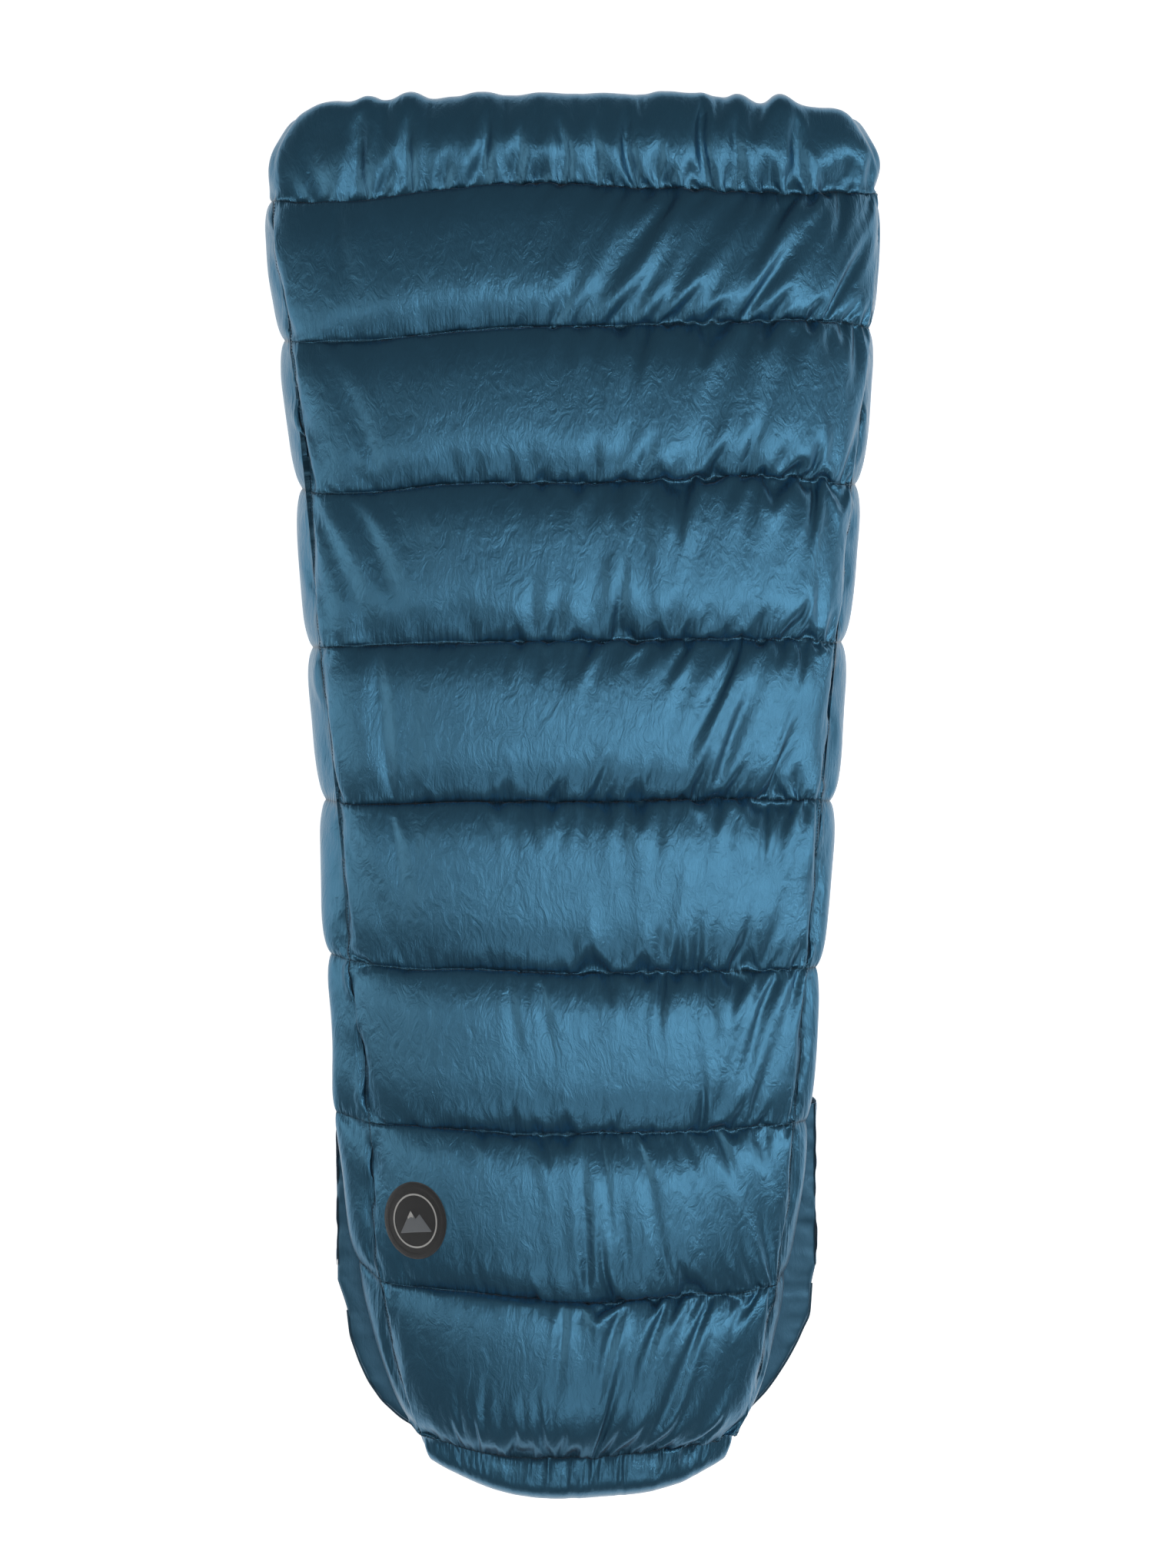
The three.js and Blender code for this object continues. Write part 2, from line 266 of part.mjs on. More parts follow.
// down fills: the collar, the eight full chambers, the foot end
const B = 0.03, BM = 0.045;
addMesh('down_fill_1', fillOf([4.2, 4.5, 5, 6, 7, 8, 9, 10, 11, 11.5, 11.8], [0.22, 0.5, 0.75, 1 - B], 26), WHITE);
for (let k = 1; k <= 8; k++)
  addMesh(`down_fill_${k + 1}`, fillOf([4.06, 4.5, 5, 6, 7, 8, 9, 10, 11, 11.5, 11.94], stationsIn(k + B, k + 1 - B, 5), FILL_TOP), WHITE);
addMesh('down_fill_10', fillOf([4.3, 5, 6, 7, 8, 9, 10, 11, 11.7], [9 + B, 9.25, 9.5, 9.7], 24), WHITE);
for (let k = 1; k <= 5; k++) {
  addMesh(`left_side_fill_${k}`, fillOf([0.4, 1, 2, 3, 3.6], stationsIn(k + BM, k + 1 - BM, 5), FILL_SIDE), WHITE);
  addMesh(`right_side_fill_${k}`, fillOf([12.4, 13, 14, 15, 15.6], stationsIn(k + BM, k + 1 - BM, 5), FILL_SIDE), WHITE);
}
addMesh('left_foot_side_fill', fillOf([2.5, 3, 3.85], stationsIn(6 + B, 8.8, 5), 5), WHITE);
addMesh('right_foot_side_fill', fillOf([12.15, 13, 13.5], stationsIn(6 + B, 8.8, 5), 5), WHITE);

// hem bindings below the lower edges of both lifting side panels
function hem(name, u0, inboard) {
  const vs = stationsIn(FIRST_MOVING + EM, LAST_MOVING - EM, 3);
  const edge = (v) => bilinear(SURFACE, u0, v), into = (v) => unit(bilinear(DEPTH, u0, v));
  addMesh(name, slab([0, 1], vs,
    (s, v) => add(add(edge(v), mul(into(v), s * 7.5)), [0, 0, -GAP]),
    (s, v) => add(add(edge(v), mul(into(v), s * 7.5)), [0, 0, -GAP - HEM])), DEEP);
}
hem('left_side_hem', 0, 1);
hem('right_side_hem', 16, -1);

// collar hem binding round the front edge, and the flat elastic in its channel
{
  const us = span(0.03, 15.97, 26);
  const step = (u) => {
    const a = bilinear(SURFACE, u, 0), b = bilinear(SURFACE, u, 0.2);
    return unit(sub(a, b));
  };
  const mid = (u) => at(u, 0.02, 0.1), lin = (u) => unit(bilinear(DEPTH, u, 0));
  addMesh('collar_hem_binding', slab(us, [0, 1],
    (u, s) => add(add(mid(u), mul(lin(u), s * 7)), mul(step(u), 1.0)),
    (u, s) => add(add(mid(u), mul(lin(u), s * 7)), mul(step(u), 3.6))), DEEP);
  const ue = [4.6, 5, 6, 7, 8, 9, 10, 11, 11.4];
  addMesh('collar_elastic', slab(ue, [0.045, 0.12], (u, v) => at(u, v, SHELL + 2), (u, v) => at(u, v, SHELL + 3)), GREY);
}

// foot box floor, under the feet, and the pad sleeve below it
function sheet(name, outline, z, thick, color) {
  const shape = new THREE.Shape(outline.map(([x, y]) => new THREE.Vector2(x, y)));
  const g = new THREE.ExtrudeGeometry(shape, { depth: thick, bevelEnabled: false, steps: 1 });
  const mesh = addMesh(name, g, color);
  mesh.position.z = z;
  return mesh;
}
const SCOOP_R = [[313, -664], [310, -708], [303, -720], [294, -741], [281, -765], [265, -790], [251, -809], [232, -828], [216, -848]];
const SCOOP_L = [[-305, -700], [-301, -734], [-289, -768], [-277, -794], [-259, -820], [-235, -842], [-221, -851]];
const W = SLEEVE_HALF_WIDTH;
const outline = (w) => [[-w, SLEEVE_MOUTH_Y], [-w, -660], ...SCOOP_L, [-205, -856], [200, -856], ...[...SCOOP_R].reverse(), [w, -640], [w, SLEEVE_MOUTH_Y]];
sheet('foot_box_floor', [[-292, -452], [-282, -560], [-262, -650], [-235, -740], [-196, -838], [-178, -857], [178, -857], [194, -838], [226, -740], [252, -650], [274, -560], [284, -452]], SLEEVE_HEIGHT + GAP, 1.2, DEEP);
sheet('sleeve_top_sheet', outline(W - 3), SLEEVE_HEIGHT - SLEEVE_SHEET, SLEEVE_SHEET, DEEP);
sheet('sleeve_bottom_sheet', outline(W - 3), 0, SLEEVE_SHEET, DEEP);
for (const [name, s] of [['sleeve_left_gusset', -1], ['sleeve_right_gusset', 1]]) {
  const y1 = SLEEVE_MOUTH_Y, y0 = -640, g = new THREE.BoxGeometry(SLEEVE_SHEET, y1 - y0, SLEEVE_HEIGHT - 0);
  const mesh = addMesh(name, g, DEEP);
  mesh.position.set(s * (W - 3 + GAP + SLEEVE_SHEET / 2), (y0 + y1) / 2, SLEEVE_HEIGHT / 2);
}
// edge bindings of both scoops, on the top sheet's edge
function binding(name, pts, side) {
  const n = pts.map((p, i) => {
    const a = pts[Math.max(0, i - 1)], b = pts[Math.min(pts.length - 1, i + 1)];
    const t = unit([b[0] - a[0], b[1] - a[1], 0]);
    return [t[1] * side, -t[0] * side];
  });
  const vs = pts.map((_, i) => i);
  const z = SLEEVE_HEIGHT - 2.2;
  addMesh(name, slab([0, 1], vs,
    (s, i) => [pts[i][0] + n[i][0] * (0.6 + s * 2.4), pts[i][1] + n[i][1] * (0.6 + s * 2.4), z + 2.6],
    (s, i) => [pts[i][0] + n[i][0] * (0.6 + s * 2.4), pts[i][1] + n[i][1] * (0.6 + s * 2.4), z]), DEEP);
}
binding('scoop_binding_left', SCOOP_L.slice(1, -1), 1);
binding('scoop_binding_right', SCOOP_R.slice(1, -1), -1);

// oval badge sewn on the eighth chamber: a base and a raised emblem
function locate(x, y) {         // the surface coordinates under a plan position
  let u = 6, v = 7.5;
  for (let k = 0; k < 40; k++) {
    const p = outer(u, v), a = outer(u + 0.01, v), b = outer(u, v + 0.01);
    const ax = (a[0] - p[0]) / 0.01, ay = (a[1] - p[1]) / 0.01, bx = (b[0] - p[0]) / 0.01, by = (b[1] - p[1]) / 0.01;
    const dx = x - p[0], dy = y - p[1], det = ax * by - ay * bx;
    u += (dx * by - dy * bx) / det; v += (ax * dy - ay * dx) / det;
  }
  return [u, v];
}
function ovalSlab(rx, ry, lift, thick, rings, n) {
  const c = Math.cos(BADGE.tilt), s = Math.sin(BADGE.tilt);
  const spot = (r, k, h) => {
    const a = 2 * Math.PI * k / n, x = rx * r * Math.cos(a), y = ry * r * Math.sin(a);
    const [u, v] = locate(BADGE.x + x * c - y * s, BADGE.y + x * s + y * c);
    return add(outer(u, v), mul(normal(u, v), h));
  };
  const points = [], faces = [];
  for (const h of [lift + thick, lift]) {
    points.push(spot(0, 0, h));
    for (let r = 1; r <= rings; r++) for (let k = 0; k < n; k++) points.push(spot(r / rings, k, h));
  }
  const m = 1 + rings * n, id = (side, r, k) => side * m + (r === 0 ? 0 : 1 + (r - 1) * n + (k % n));
  for (const side of [0, 1])
    for (let k = 0; k < n; k++) {
      const flip = side ? (f) => [f[0], f[2], f[1]] : (f) => f;
      faces.push(flip([id(side, 0, 0), id(side, 1, k), id(side, 1, k + 1)]));
      for (let r = 1; r < rings; r++)
        faces.push(flip([id(side, r, k), id(side, r + 1, k), id(side, r + 1, k + 1)]), flip([id(side, r, k), id(side, r + 1, k + 1), id(side, r, k + 1)]));
    }
  for (let k = 0; k < n; k++)
    faces.push([id(0, rings, k), id(1, rings, k), id(1, rings, k + 1)], [id(0, rings, k), id(1, rings, k + 1), id(0, rings, k + 1)]);
  return closed(points, faces);
}
addMesh('badge_base', ovalSlab(BADGE.rx, BADGE.ry, 1.6, 1.4, 3, 20), 0x22272b);
addMesh('badge_emblem', ovalSlab(BADGE.rx * 0.6, BADGE.ry * 0.6, 4.0, 0.8, 2, 16), 0xd8dcdc);

export default group;
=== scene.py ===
# Camp quilt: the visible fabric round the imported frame.
import bpy, math
import numpy as np
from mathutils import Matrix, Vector


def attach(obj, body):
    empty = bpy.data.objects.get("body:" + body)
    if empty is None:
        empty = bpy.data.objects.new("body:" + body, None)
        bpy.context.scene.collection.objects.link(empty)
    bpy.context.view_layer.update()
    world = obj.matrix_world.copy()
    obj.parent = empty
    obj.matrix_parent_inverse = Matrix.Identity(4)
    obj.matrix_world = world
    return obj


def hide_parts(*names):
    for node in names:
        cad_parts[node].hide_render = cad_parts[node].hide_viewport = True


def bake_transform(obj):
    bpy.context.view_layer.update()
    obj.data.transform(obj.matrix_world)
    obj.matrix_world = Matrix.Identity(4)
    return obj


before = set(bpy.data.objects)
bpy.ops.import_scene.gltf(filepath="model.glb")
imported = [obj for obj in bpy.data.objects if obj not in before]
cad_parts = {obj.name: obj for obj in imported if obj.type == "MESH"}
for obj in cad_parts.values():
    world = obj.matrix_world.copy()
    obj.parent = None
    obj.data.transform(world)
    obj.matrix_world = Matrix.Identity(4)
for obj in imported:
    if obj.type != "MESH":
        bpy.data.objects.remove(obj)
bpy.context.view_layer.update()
scene = bpy.context.scene

# ------------------------------------------------------------------ the surface the CAD solids share, in mm
KV = np.array([0.0,0.2,0.5,1,2,3,4,5,6,7,8,9,9.5,10.0], float)
NET = np.array([[[-322.0,818.0,0.0],[-341.0,836.0,18.0],[-355.0,852.0,40.0],[-355.0,863.0,58.0],[-345.0,871.0,74.0],[-271.9,879.0,92.0],[-179.3,881.4,94.1],[-87.7,882.0,94.9],[4.0,882.0,95.0],[94.7,882.0,94.9],[187.3,881.4,94.1],[279.9,879.0,92.0],[341.0,871.0,74.0],[351.0,863.0,58.0],[351.0,852.0,40.0],[337.0,836.0,18.0],[318.0,818.0,0.0]],[[-334.0,826.0,0.0],[-354.0,846.0,20.0],[-370.0,866.0,46.0],[-371.0,878.0,68.0],[-362.0,887.0,88.0],[-274.9,893.0,109.0],[-181.3,895.4,112.5],[-88.6,896.0,113.8],[4.0,896.0,114.0],[95.7,896.0,113.8],[189.3,895.4,112.5],[282.9,893.0,109.0],[358.0,887.0,88.0],[367.0,878.0,68.0],[366.0,866.0,46.0],[350.0,846.0,20.0],[330.0,826.0,0.0]],[[-348.0,812.0,0.0],[-372.0,822.0,22.0],[-391.0,834.0,56.0],[-394.0,844.0,82.0],[-390.0,850.0,99.0],[-279.2,855.0,122.0],[-184.2,857.4,131.9],[-90.1,858.0,135.5],[4.0,858.0,136.0],[97.1,858.0,135.5],[192.2,857.4,131.9],[287.2,855.0,122.0],[386.0,850.0,99.0],[390.0,844.0,82.0],[387.0,834.0,56.0],[368.0,822.0,22.0],[344.0,812.0,0.0]],[[-372.0,796.5,5.0],[-389.9,791.3,25.9],[-405.2,785.6,48.8],[-407.3,778.8,75.4],[-401.4,771.8,102.0],[-298.9,764.8,122.8],[-194.9,774.2,133.7],[-90.4,783.8,137.6],[14.6,784.2,138.0],[119.6,781.0,136.6],[224.3,776.8,129.1],[327.6,780.3,110.8],[400.9,790.5,66.0],[396.6,795.1,47.9],[396.1,799.8,29.3],[383.4,803.2,15.8],[367.8,805.9,5.0]],[[-363.6,606.3,5.0],[-383.0,602.4,25.4],[-391.6,597.4,52.1],[-388.3,591.7,79.7],[-378.5,585.8,106.0],[-280.0,581.8,125.8],[-179.9,588.0,136.1],[-79.4,594.9,139.7],[21.5,597.6,140.0],[122.3,601.6,138.6],[222.7,606.4,131.2],[321.8,612.8,113.6],[391.2,610.4,70.0],[392.0,614.1,51.0],[392.7,617.8,32.1],[383.4,620.9,16.2],[367.8,623.1,5.0]],[[-342.5,403.5,5.0],[-362.2,400.9,25.9],[-368.7,397.6,53.9],[-362.9,392.2,81.7],[-351.8,386.1,108.0],[-259.5,383.2,126.7],[-165.6,390.8,136.4],[-71.0,393.1,139.7],[23.7,393.9,140.0],[118.3,397.7,138.7],[212.5,404.1,132.1],[305.8,402.7,116.3],[367.3,400.2,80.0],[373.4,402.8,59.4],[376.1,405.5,38.2],[369.9,408.1,18.4],[353.1,409.8,5.0]],[[-325.7,187.0,5.0],[-347.2,185.9,25.0],[-354.1,184.2,53.6],[-349.5,182.6,82.8],[-340.3,181.0,111.0],[-251.9,182.7,127.9],[-162.3,184.2,136.7],[-72.3,185.3,139.7],[17.7,186.5,140.0],[107.7,188.4,138.9],[197.6,189.6,133.2],[286.5,189.9,119.1],[345.7,189.2,90.0],[353.3,190.6,67.1],[357.2,192.1,43.3],[352.9,193.5,20.1],[334.1,194.4,5.0]],[[-304.7,-21.0,5.0],[-328.7,-20.9,25.3],[-337.0,-20.5,55.6],[-327.9,-22.1,85.7],[-313.6,-24.4,114.0],[-234.7,-26.4,129.0],[-154.8,-24.4,137.3],[-74.5,-23.7,140.5],[5.9,-23.1,141.0],[86.3,-22.4,140.3],[166.5,-20.8,135.7],[246.0,-20.3,124.2],[323.8,-22.0,104.0],[337.7,-22.5,79.5],[338.7,-22.8,51.5],[331.2,-23.0,24.4],[311.0,-23.1,5.0]],[[-315.2,-226.6,68.0],[-326.2,-225.5,81.2],[-323.7,-225.7,96.6],[-311.4,-228.8,108.5],[-298.8,-232.0,120.0],[-224.9,-242.6,132.6],[-149.5,-243.5,140.2],[-73.7,-244.7,143.4],[2.1,-247.2,144.0],[77.9,-246.3,143.4],[153.7,-245.5,140.2],[229.1,-244.6,132.8],[303.9,-243.1,120.0],[310.2,-242.7,112.8],[316.0,-242.3,105.2],[317.6,-242.9,95.9],[313.2,-243.6,88.0]],[[-310.6,-435.3,93.0],[-317.9,-433.4,105.6],[-303.2,-436.7,115.2],[-287.8,-440.3,123.6],[-272.4,-444.0,132.0],[-203.3,-448.6,144.1],[-133.6,-453.2,151.6],[-63.4,-455.9,155.2],[7.0,-454.2,156.0],[77.3,-452.1,155.2],[147.5,-451.1,151.6],[217.5,-449.7,144.1],[286.6,-445.0,132.0],[293.0,-444.6,123.4],[299.1,-444.5,114.5],[302.9,-445.8,104.5],[303.4,-447.4,94.0]],[[-286.0,-633.3,94.0],[-287.1,-630.3,107.5],[-277.6,-636.1,118.3],[-267.7,-642.8,128.1],[-257.8,-649.5,138.0],[-194.3,-657.8,153.0],[-129.1,-661.7,163.2],[-63.4,-666.9,168.6],[2.6,-670.4,170.0],[68.7,-668.4,168.6],[134.5,-664.3,163.2],[199.8,-663.5,152.9],[262.8,-652.5,138.0],[267.0,-648.6,127.5],[271.1,-645.0,116.8],[273.8,-645.8,105.4],[272.7,-648.6,94.0]],[[-218.5,-845.5,95.0],[-219.4,-842.3,104.0],[-214.8,-843.4,112.6],[-209.5,-847.0,120.3],[-204.1,-850.7,128.0],[-154.6,-863.6,142.3],[-103.3,-872.9,152.5],[-50.6,-873.2,158.3],[2.5,-871.7,160.0],[55.6,-869.7,158.4],[108.3,-866.2,152.7],[160.1,-860.3,142.4],[210.1,-850.7,128.0],[212.9,-847.7,119.9],[215.6,-844.8,111.8],[217.3,-844.7,103.1],[215.5,-847.6,95.0]],[[-202.9,-872.7,96.0],[-203.7,-872.3,105.0],[-199.4,-874.3,108.3],[-194.4,-876.6,112.2],[-189.4,-878.8,116.0],[-143.4,-895.6,123.1],[-95.7,-906.7,128.2],[-46.7,-912.5,131.2],[2.7,-914.0,132.0],[52.0,-912.8,131.2],[101.0,-907.5,128.3],[149.2,-896.8,123.2],[195.8,-880.4,116.0],[198.3,-879.3,112.0],[200.8,-878.2,107.9],[202.5,-877.5,104.1],[200.7,-878.2,96.0]],[[-191.7,-864.5,97.8],[-192.5,-864.2,98.4],[-188.4,-865.6,98.9],[-183.7,-867.2,99.3],[-179.0,-868.7,99.8],[-135.4,-880.3,100.7],[-90.3,-888.0,101.3],[-43.9,-892.0,101.6],[2.8,-893.0,101.7],[49.5,-892.2,101.6],[95.9,-888.5,101.3],[141.4,-881.1,100.7],[185.5,-869.8,99.8],[187.9,-869.0,99.3],[190.3,-868.3,98.8],[191.9,-867.8,98.3],[190.2,-868.3,97.8]]], float) / 1000
LIN = np.array([[[7.0,-6.5,0.5],[7.0,-6.5,0.5],[7.0,-6.5,0.5],[7.0,-6.5,0.5],[7.0,-6.5,0.5],[0.0,-8.5,1.0],[0.0,-8.5,1.0],[0.0,-8.5,1.0],[0.0,-8.5,1.0],[0.0,-8.5,1.0],[0.0,-8.5,1.0],[0.0,-8.5,1.0],[-7.0,-6.5,0.5],[-7.0,-6.5,0.5],[-7.0,-6.5,0.5],[-7.0,-6.5,0.5],[-7.0,-6.5,0.5]],[[6.6,-15.0,1.3],[9.3,-15.0,1.1],[12.6,-15.0,0.0],[14.0,-15.0,-1.0],[10.0,-22.0,-9.0],[2.0,-30.0,-10.8],[1.0,-30.0,-12.4],[0.3,-30.0,-13.1],[-0.1,-30.0,-13.1],[-0.6,-30.0,-13.1],[-1.8,-30.0,-12.3],[-4.3,-30.0,-10.2],[-10.0,-22.0,-9.0],[-11.2,-15.0,-0.4],[-10.5,-15.0,0.0],[-8.6,-15.0,0.9],[-6.6,-15.0,1.3]],[[6.4,-8.0,3.2],[13.2,-8.0,2.7],[21.6,-8.0,0.0],[25.1,-8.0,-2.5],[20.4,-12.0,-18.0],[4.8,-19.8,-31.5],[2.6,-20.1,-35.9],[0.8,-20.1,-37.8],[-0.2,-20.1,-37.8],[-1.6,-20.1,-37.8],[-4.4,-20.1,-35.7],[-10.9,-20.1,-30.5],[-19.1,-12.0,-8.3],[-18.0,-8.0,-0.9],[-16.2,-8.0,0.0],[-11.5,-8.0,2.4],[-6.4,-8.0,3.2]],[[7.2,0.0,3.6],[14.7,0.0,3.0],[24.0,0.0,0.0],[27.9,0.0,-2.8],[25.5,0.0,-22.5],[5.0,-0.1,-32.3],[2.9,-0.1,-39.9],[0.9,-0.1,-42.0],[-0.2,-0.1,-42.0],[-1.8,-0.1,-42.0],[-4.8,-0.1,-38.6],[-7.2,-0.1,-20.3],[-23.8,0.0,-10.4],[-20.0,0.0,-1.0],[-18.0,0.0,0.0],[-12.7,0.0,2.6],[-7.2,0.0,3.6]],[[7.2,0.0,3.6],[14.7,0.0,3.0],[24.0,0.0,0.0],[27.9,0.0,-2.8],[25.5,0.0,-22.5],[5.4,0.2,-35.3],[2.8,-0.1,-39.9],[0.8,-0.2,-42.0],[-0.2,-0.2,-42.0],[-1.8,-0.2,-42.0],[-5.0,-0.2,-39.7],[-8.4,0.2,-23.1],[-23.8,0.0,-10.4],[-20.0,0.0,-1.0],[-18.0,0.0,0.0],[-12.7,0.0,2.6],[-7.2,0.0,3.6]],[[7.2,0.0,3.6],[14.7,0.0,3.0],[24.0,0.0,0.0],[27.9,0.0,-2.8],[25.5,0.0,-22.5],[5.4,0.2,-35.6],[2.7,0.1,-39.9],[0.8,0.0,-42.0],[-0.2,0.0,-42.0],[-1.7,0.0,-42.0],[-4.8,0.1,-39.7],[-8.7,0.4,-25.8],[-23.8,0.0,-10.4],[-20.0,0.0,-1.0],[-18.0,0.0,0.0],[-12.7,0.0,2.6],[-7.2,0.0,3.6]],[[7.2,0.0,3.6],[14.7,0.0,3.0],[24.0,0.0,0.0],[27.9,0.0,-2.8],[25.5,0.0,-22.5],[5.1,0.1,-35.6],[2.6,-0.0,-39.9],[0.8,-0.1,-42.0],[-0.2,-0.1,-42.0],[-1.6,-0.0,-42.0],[-4.4,0.1,-39.8],[-8.3,0.6,-28.6],[-23.8,0.0,-10.4],[-20.0,0.0,-1.0],[-18.0,0.0,0.0],[-12.7,0.0,2.6],[-7.2,0.0,3.6]],[[7.2,0.0,3.6],[11.8,0.0,2.4],[17.0,0.0,0.0],[19.9,0.0,-2.0],[22.5,0.0,-19.8],[5.2,-0.1,-35.6],[2.9,-0.2,-39.9],[1.0,-0.4,-42.0],[-0.1,-0.4,-42.0],[-1.4,-0.3,-42.0],[-4.0,-0.2,-39.8],[-6.8,-0.2,-33.7],[-22.0,0.0,-9.6],[-15.0,0.0,-0.7],[-14.0,0.0,0.0],[-10.8,0.0,2.2],[-7.2,0.0,3.6]],[[5.5,0.0,2.4],[9.0,0.0,0.9],[11.9,0.0,-1.2],[15.3,0.0,-4.8],[18.4,0.0,-18.4],[5.5,-1.1,-41.6],[3.0,-1.3,-41.9],[1.0,-1.4,-42.0],[-0.0,-1.5,-42.0],[-1.0,-1.4,-42.0],[-2.9,-1.4,-41.9],[-5.6,-1.6,-41.6],[-18.4,0.0,-18.4],[-15.3,0.0,-4.8],[-11.9,0.0,-1.2],[-9.0,0.0,0.9],[-5.5,0.0,2.4]],[[5.5,0.0,2.4],[8.0,0.0,0.8],[10.0,0.0,-1.0],[13.4,0.0,-4.2],[18.4,0.0,-18.4],[5.8,-1.6,-41.6],[3.4,-2.3,-43.8],[1.3,-2.6,-43.9],[0.1,-2.7,-43.9],[-1.3,-2.6,-43.9],[-3.4,-2.2,-43.8],[-5.8,-1.6,-41.6],[-18.4,0.0,-18.4],[-13.4,0.0,-4.2],[-10.0,0.0,-1.0],[-8.0,0.0,0.8],[-5.5,0.0,2.4]],[[5.5,0.0,2.4],[7.0,0.0,0.7],[9.0,0.0,-0.9],[11.4,0.0,-3.6],[15.6,0.0,-15.6],[7.8,1.1,-39.2],[5.2,0.3,-43.7],[2.2,-0.3,-43.9],[-0.0,-0.4,-44.0],[-2.3,-0.2,-43.9],[-5.2,0.4,-43.7],[-7.8,1.2,-39.2],[-15.6,0.0,-15.6],[-11.4,0.0,-3.6],[-9.0,0.0,-0.9],[-7.0,0.0,0.7],[-5.5,0.0,2.4]],[[5.5,0.0,2.4],[6.0,0.0,0.6],[7.0,0.0,-0.7],[8.6,0.0,-2.7],[9.9,0.0,-9.9],[8.7,1.1,-30.8],[6.7,1.3,-39.4],[2.9,1.3,-41.9],[-0.2,1.3,-42.0],[-3.3,1.3,-41.9],[-6.6,1.3,-39.4],[-8.3,1.1,-30.9],[-9.9,0.0,-9.9],[-8.6,0.0,-2.7],[-7.0,0.0,-0.7],[-6.0,0.0,0.6],[-5.5,0.0,2.4]],[[3.0,3.7,1.3],[3.3,4.3,0.3],[3.8,5.6,-0.4],[4.7,7.4,-1.5],[5.4,11.1,-5.4],[4.8,20.4,-16.9],[3.7,25.5,-21.7],[1.6,26.7,-23.0],[-0.1,26.7,-23.1],[-1.8,26.7,-23.0],[-3.6,25.5,-21.7],[-4.6,20.4,-17.0],[-5.4,11.1,-5.4],[-4.7,7.4,-1.5],[-3.8,5.6,-0.4],[-3.3,4.3,0.3],[-3.0,3.7,1.3]],[[6.0,6.0,0.3],[6.0,6.0,0.3],[6.0,6.0,0.3],[6.0,6.0,0.3],[0.0,8.5,0.5],[0.0,8.5,0.5],[0.0,8.5,0.5],[0.0,8.5,0.5],[0.0,8.5,0.5],[0.0,8.5,0.5],[0.0,8.5,0.5],[0.0,8.5,0.5],[0.0,8.5,0.5],[-6.0,6.0,0.3],[-6.0,6.0,0.3],[-6.0,6.0,0.3],[-6.0,6.0,0.3]]], float) / 1000
CEN = np.array([-2.6, -8.0, 0.0]) / 1000
NET = NET - CEN


def hermite(P, k, t, axis):
    P = np.moveaxis(P, axis, 0); n = len(k); m = np.empty_like(P)
    for j in range(n):
        a, b = max(j - 1, 0), min(j + 1, n - 1)
        if 0 < j < n - 1:
            h0, h1 = k[j] - k[j - 1], k[j + 1] - k[j]
            m[j] = ((P[j] - P[j - 1]) / h0 * h1 + (P[j + 1] - P[j]) / h1 * h0) / (h0 + h1)
        else:
            m[j] = (P[b] - P[a]) / (k[b] - k[a])
    i = np.clip(np.searchsorted(k, t, side='right') - 1, 0, n - 2); h = k[i + 1] - k[i]; s = (t - k[i]) / h
    sh = (len(t),) + (1,) * (P.ndim - 1); s = s.reshape(sh); h = h.reshape(sh)
    out = (2*s**3-3*s**2+1)*P[i] + (s**3-2*s**2+s)*h*m[i] + (-2*s**3+3*s**2)*P[i+1] + (s**3-s**2)*h*m[i+1]
    return np.moveaxis(out, 0, axis)


KU = np.concatenate([[0], np.cumsum(np.linalg.norm(np.diff(NET[3:8], axis=1), axis=2).mean(0))])
KM = np.concatenate([[0], np.cumsum(np.linalg.norm(np.diff(NET[:, 6:11], axis=0), axis=2).mean(1))])


def base(uc, vc, net):
    return hermite(hermite(net, KM, np.interp(vc, KV, KM), 0), KU, np.interp(uc, np.arange(17), KU), 1)


# ------------------------------------------------------------------ the cloth's grid
NS, NT, RC, RF, RE = 28, 320, 40, 48, 28      # columns of a side and of the top, rows of collar, chamber and foot
UC = np.concatenate([np.linspace(0, 4, NS + 1), np.linspace(4, 12, NT + 1)[1:], np.linspace(12, 16, NS + 1)[1:]])


def eased(a, b, n, mix=0.55):
    s = np.linspace(0, 1, n + 1)
    return a + (b - a) * ((1 - mix) * s + mix * (0.5 - 0.5 * np.cos(np.pi * s)))


VC = [eased(0, 1, RC, 0.2)]
for k in range(1, 9):
    VC.append(eased(k, k + 1, RF)[1:])
VC.append(eased(9, 10, RE, 0.2)[1:])
VC = np.concatenate(VC)
SEAM = [RC + RF * k for k in range(9)]        # rows of the nine cross seams
CL, CR = NS, NS + NT                          # columns of the two long seams
NR, NC = len(VC), len(UC)
U, V = np.meshgrid(UC, VC)


def noise(a, b, seed):
    T = np.random.default_rng(seed).standard_normal((97, 97))
    ia, ib = np.floor(a).astype(int), np.floor(b).astype(int)
    fa, fb = a - ia, b - ib
    fa, fb = fa*fa*fa*(fa*(fa*6-15)+10), fb*fb*fb*(fb*(fb*6-15)+10)
    g = lambda i, j: T[i % 97, j % 97]
    return (g(ia, ib)*(1-fa)+g(ia+1, ib)*fa)*(1-fb) + (g(ia, ib+1)*(1-fa)+g(ia+1, ib+1)*fa)*fb


def step(x, a, b):
    t = np.clip((x - a) / (b - a), 0, 1)
    return t * t * (3 - 2 * t)


def unit(a):
    return a / np.maximum(np.linalg.norm(a, axis=-1, keepdims=True), 1e-9)


def normals(P, out):
    n = unit(np.cross(np.gradient(P, axis=0), np.gradient(P, axis=1)))
    s = np.sign((n * out).sum(-1, keepdims=True)); s[s == 0] = 1
    return n * s


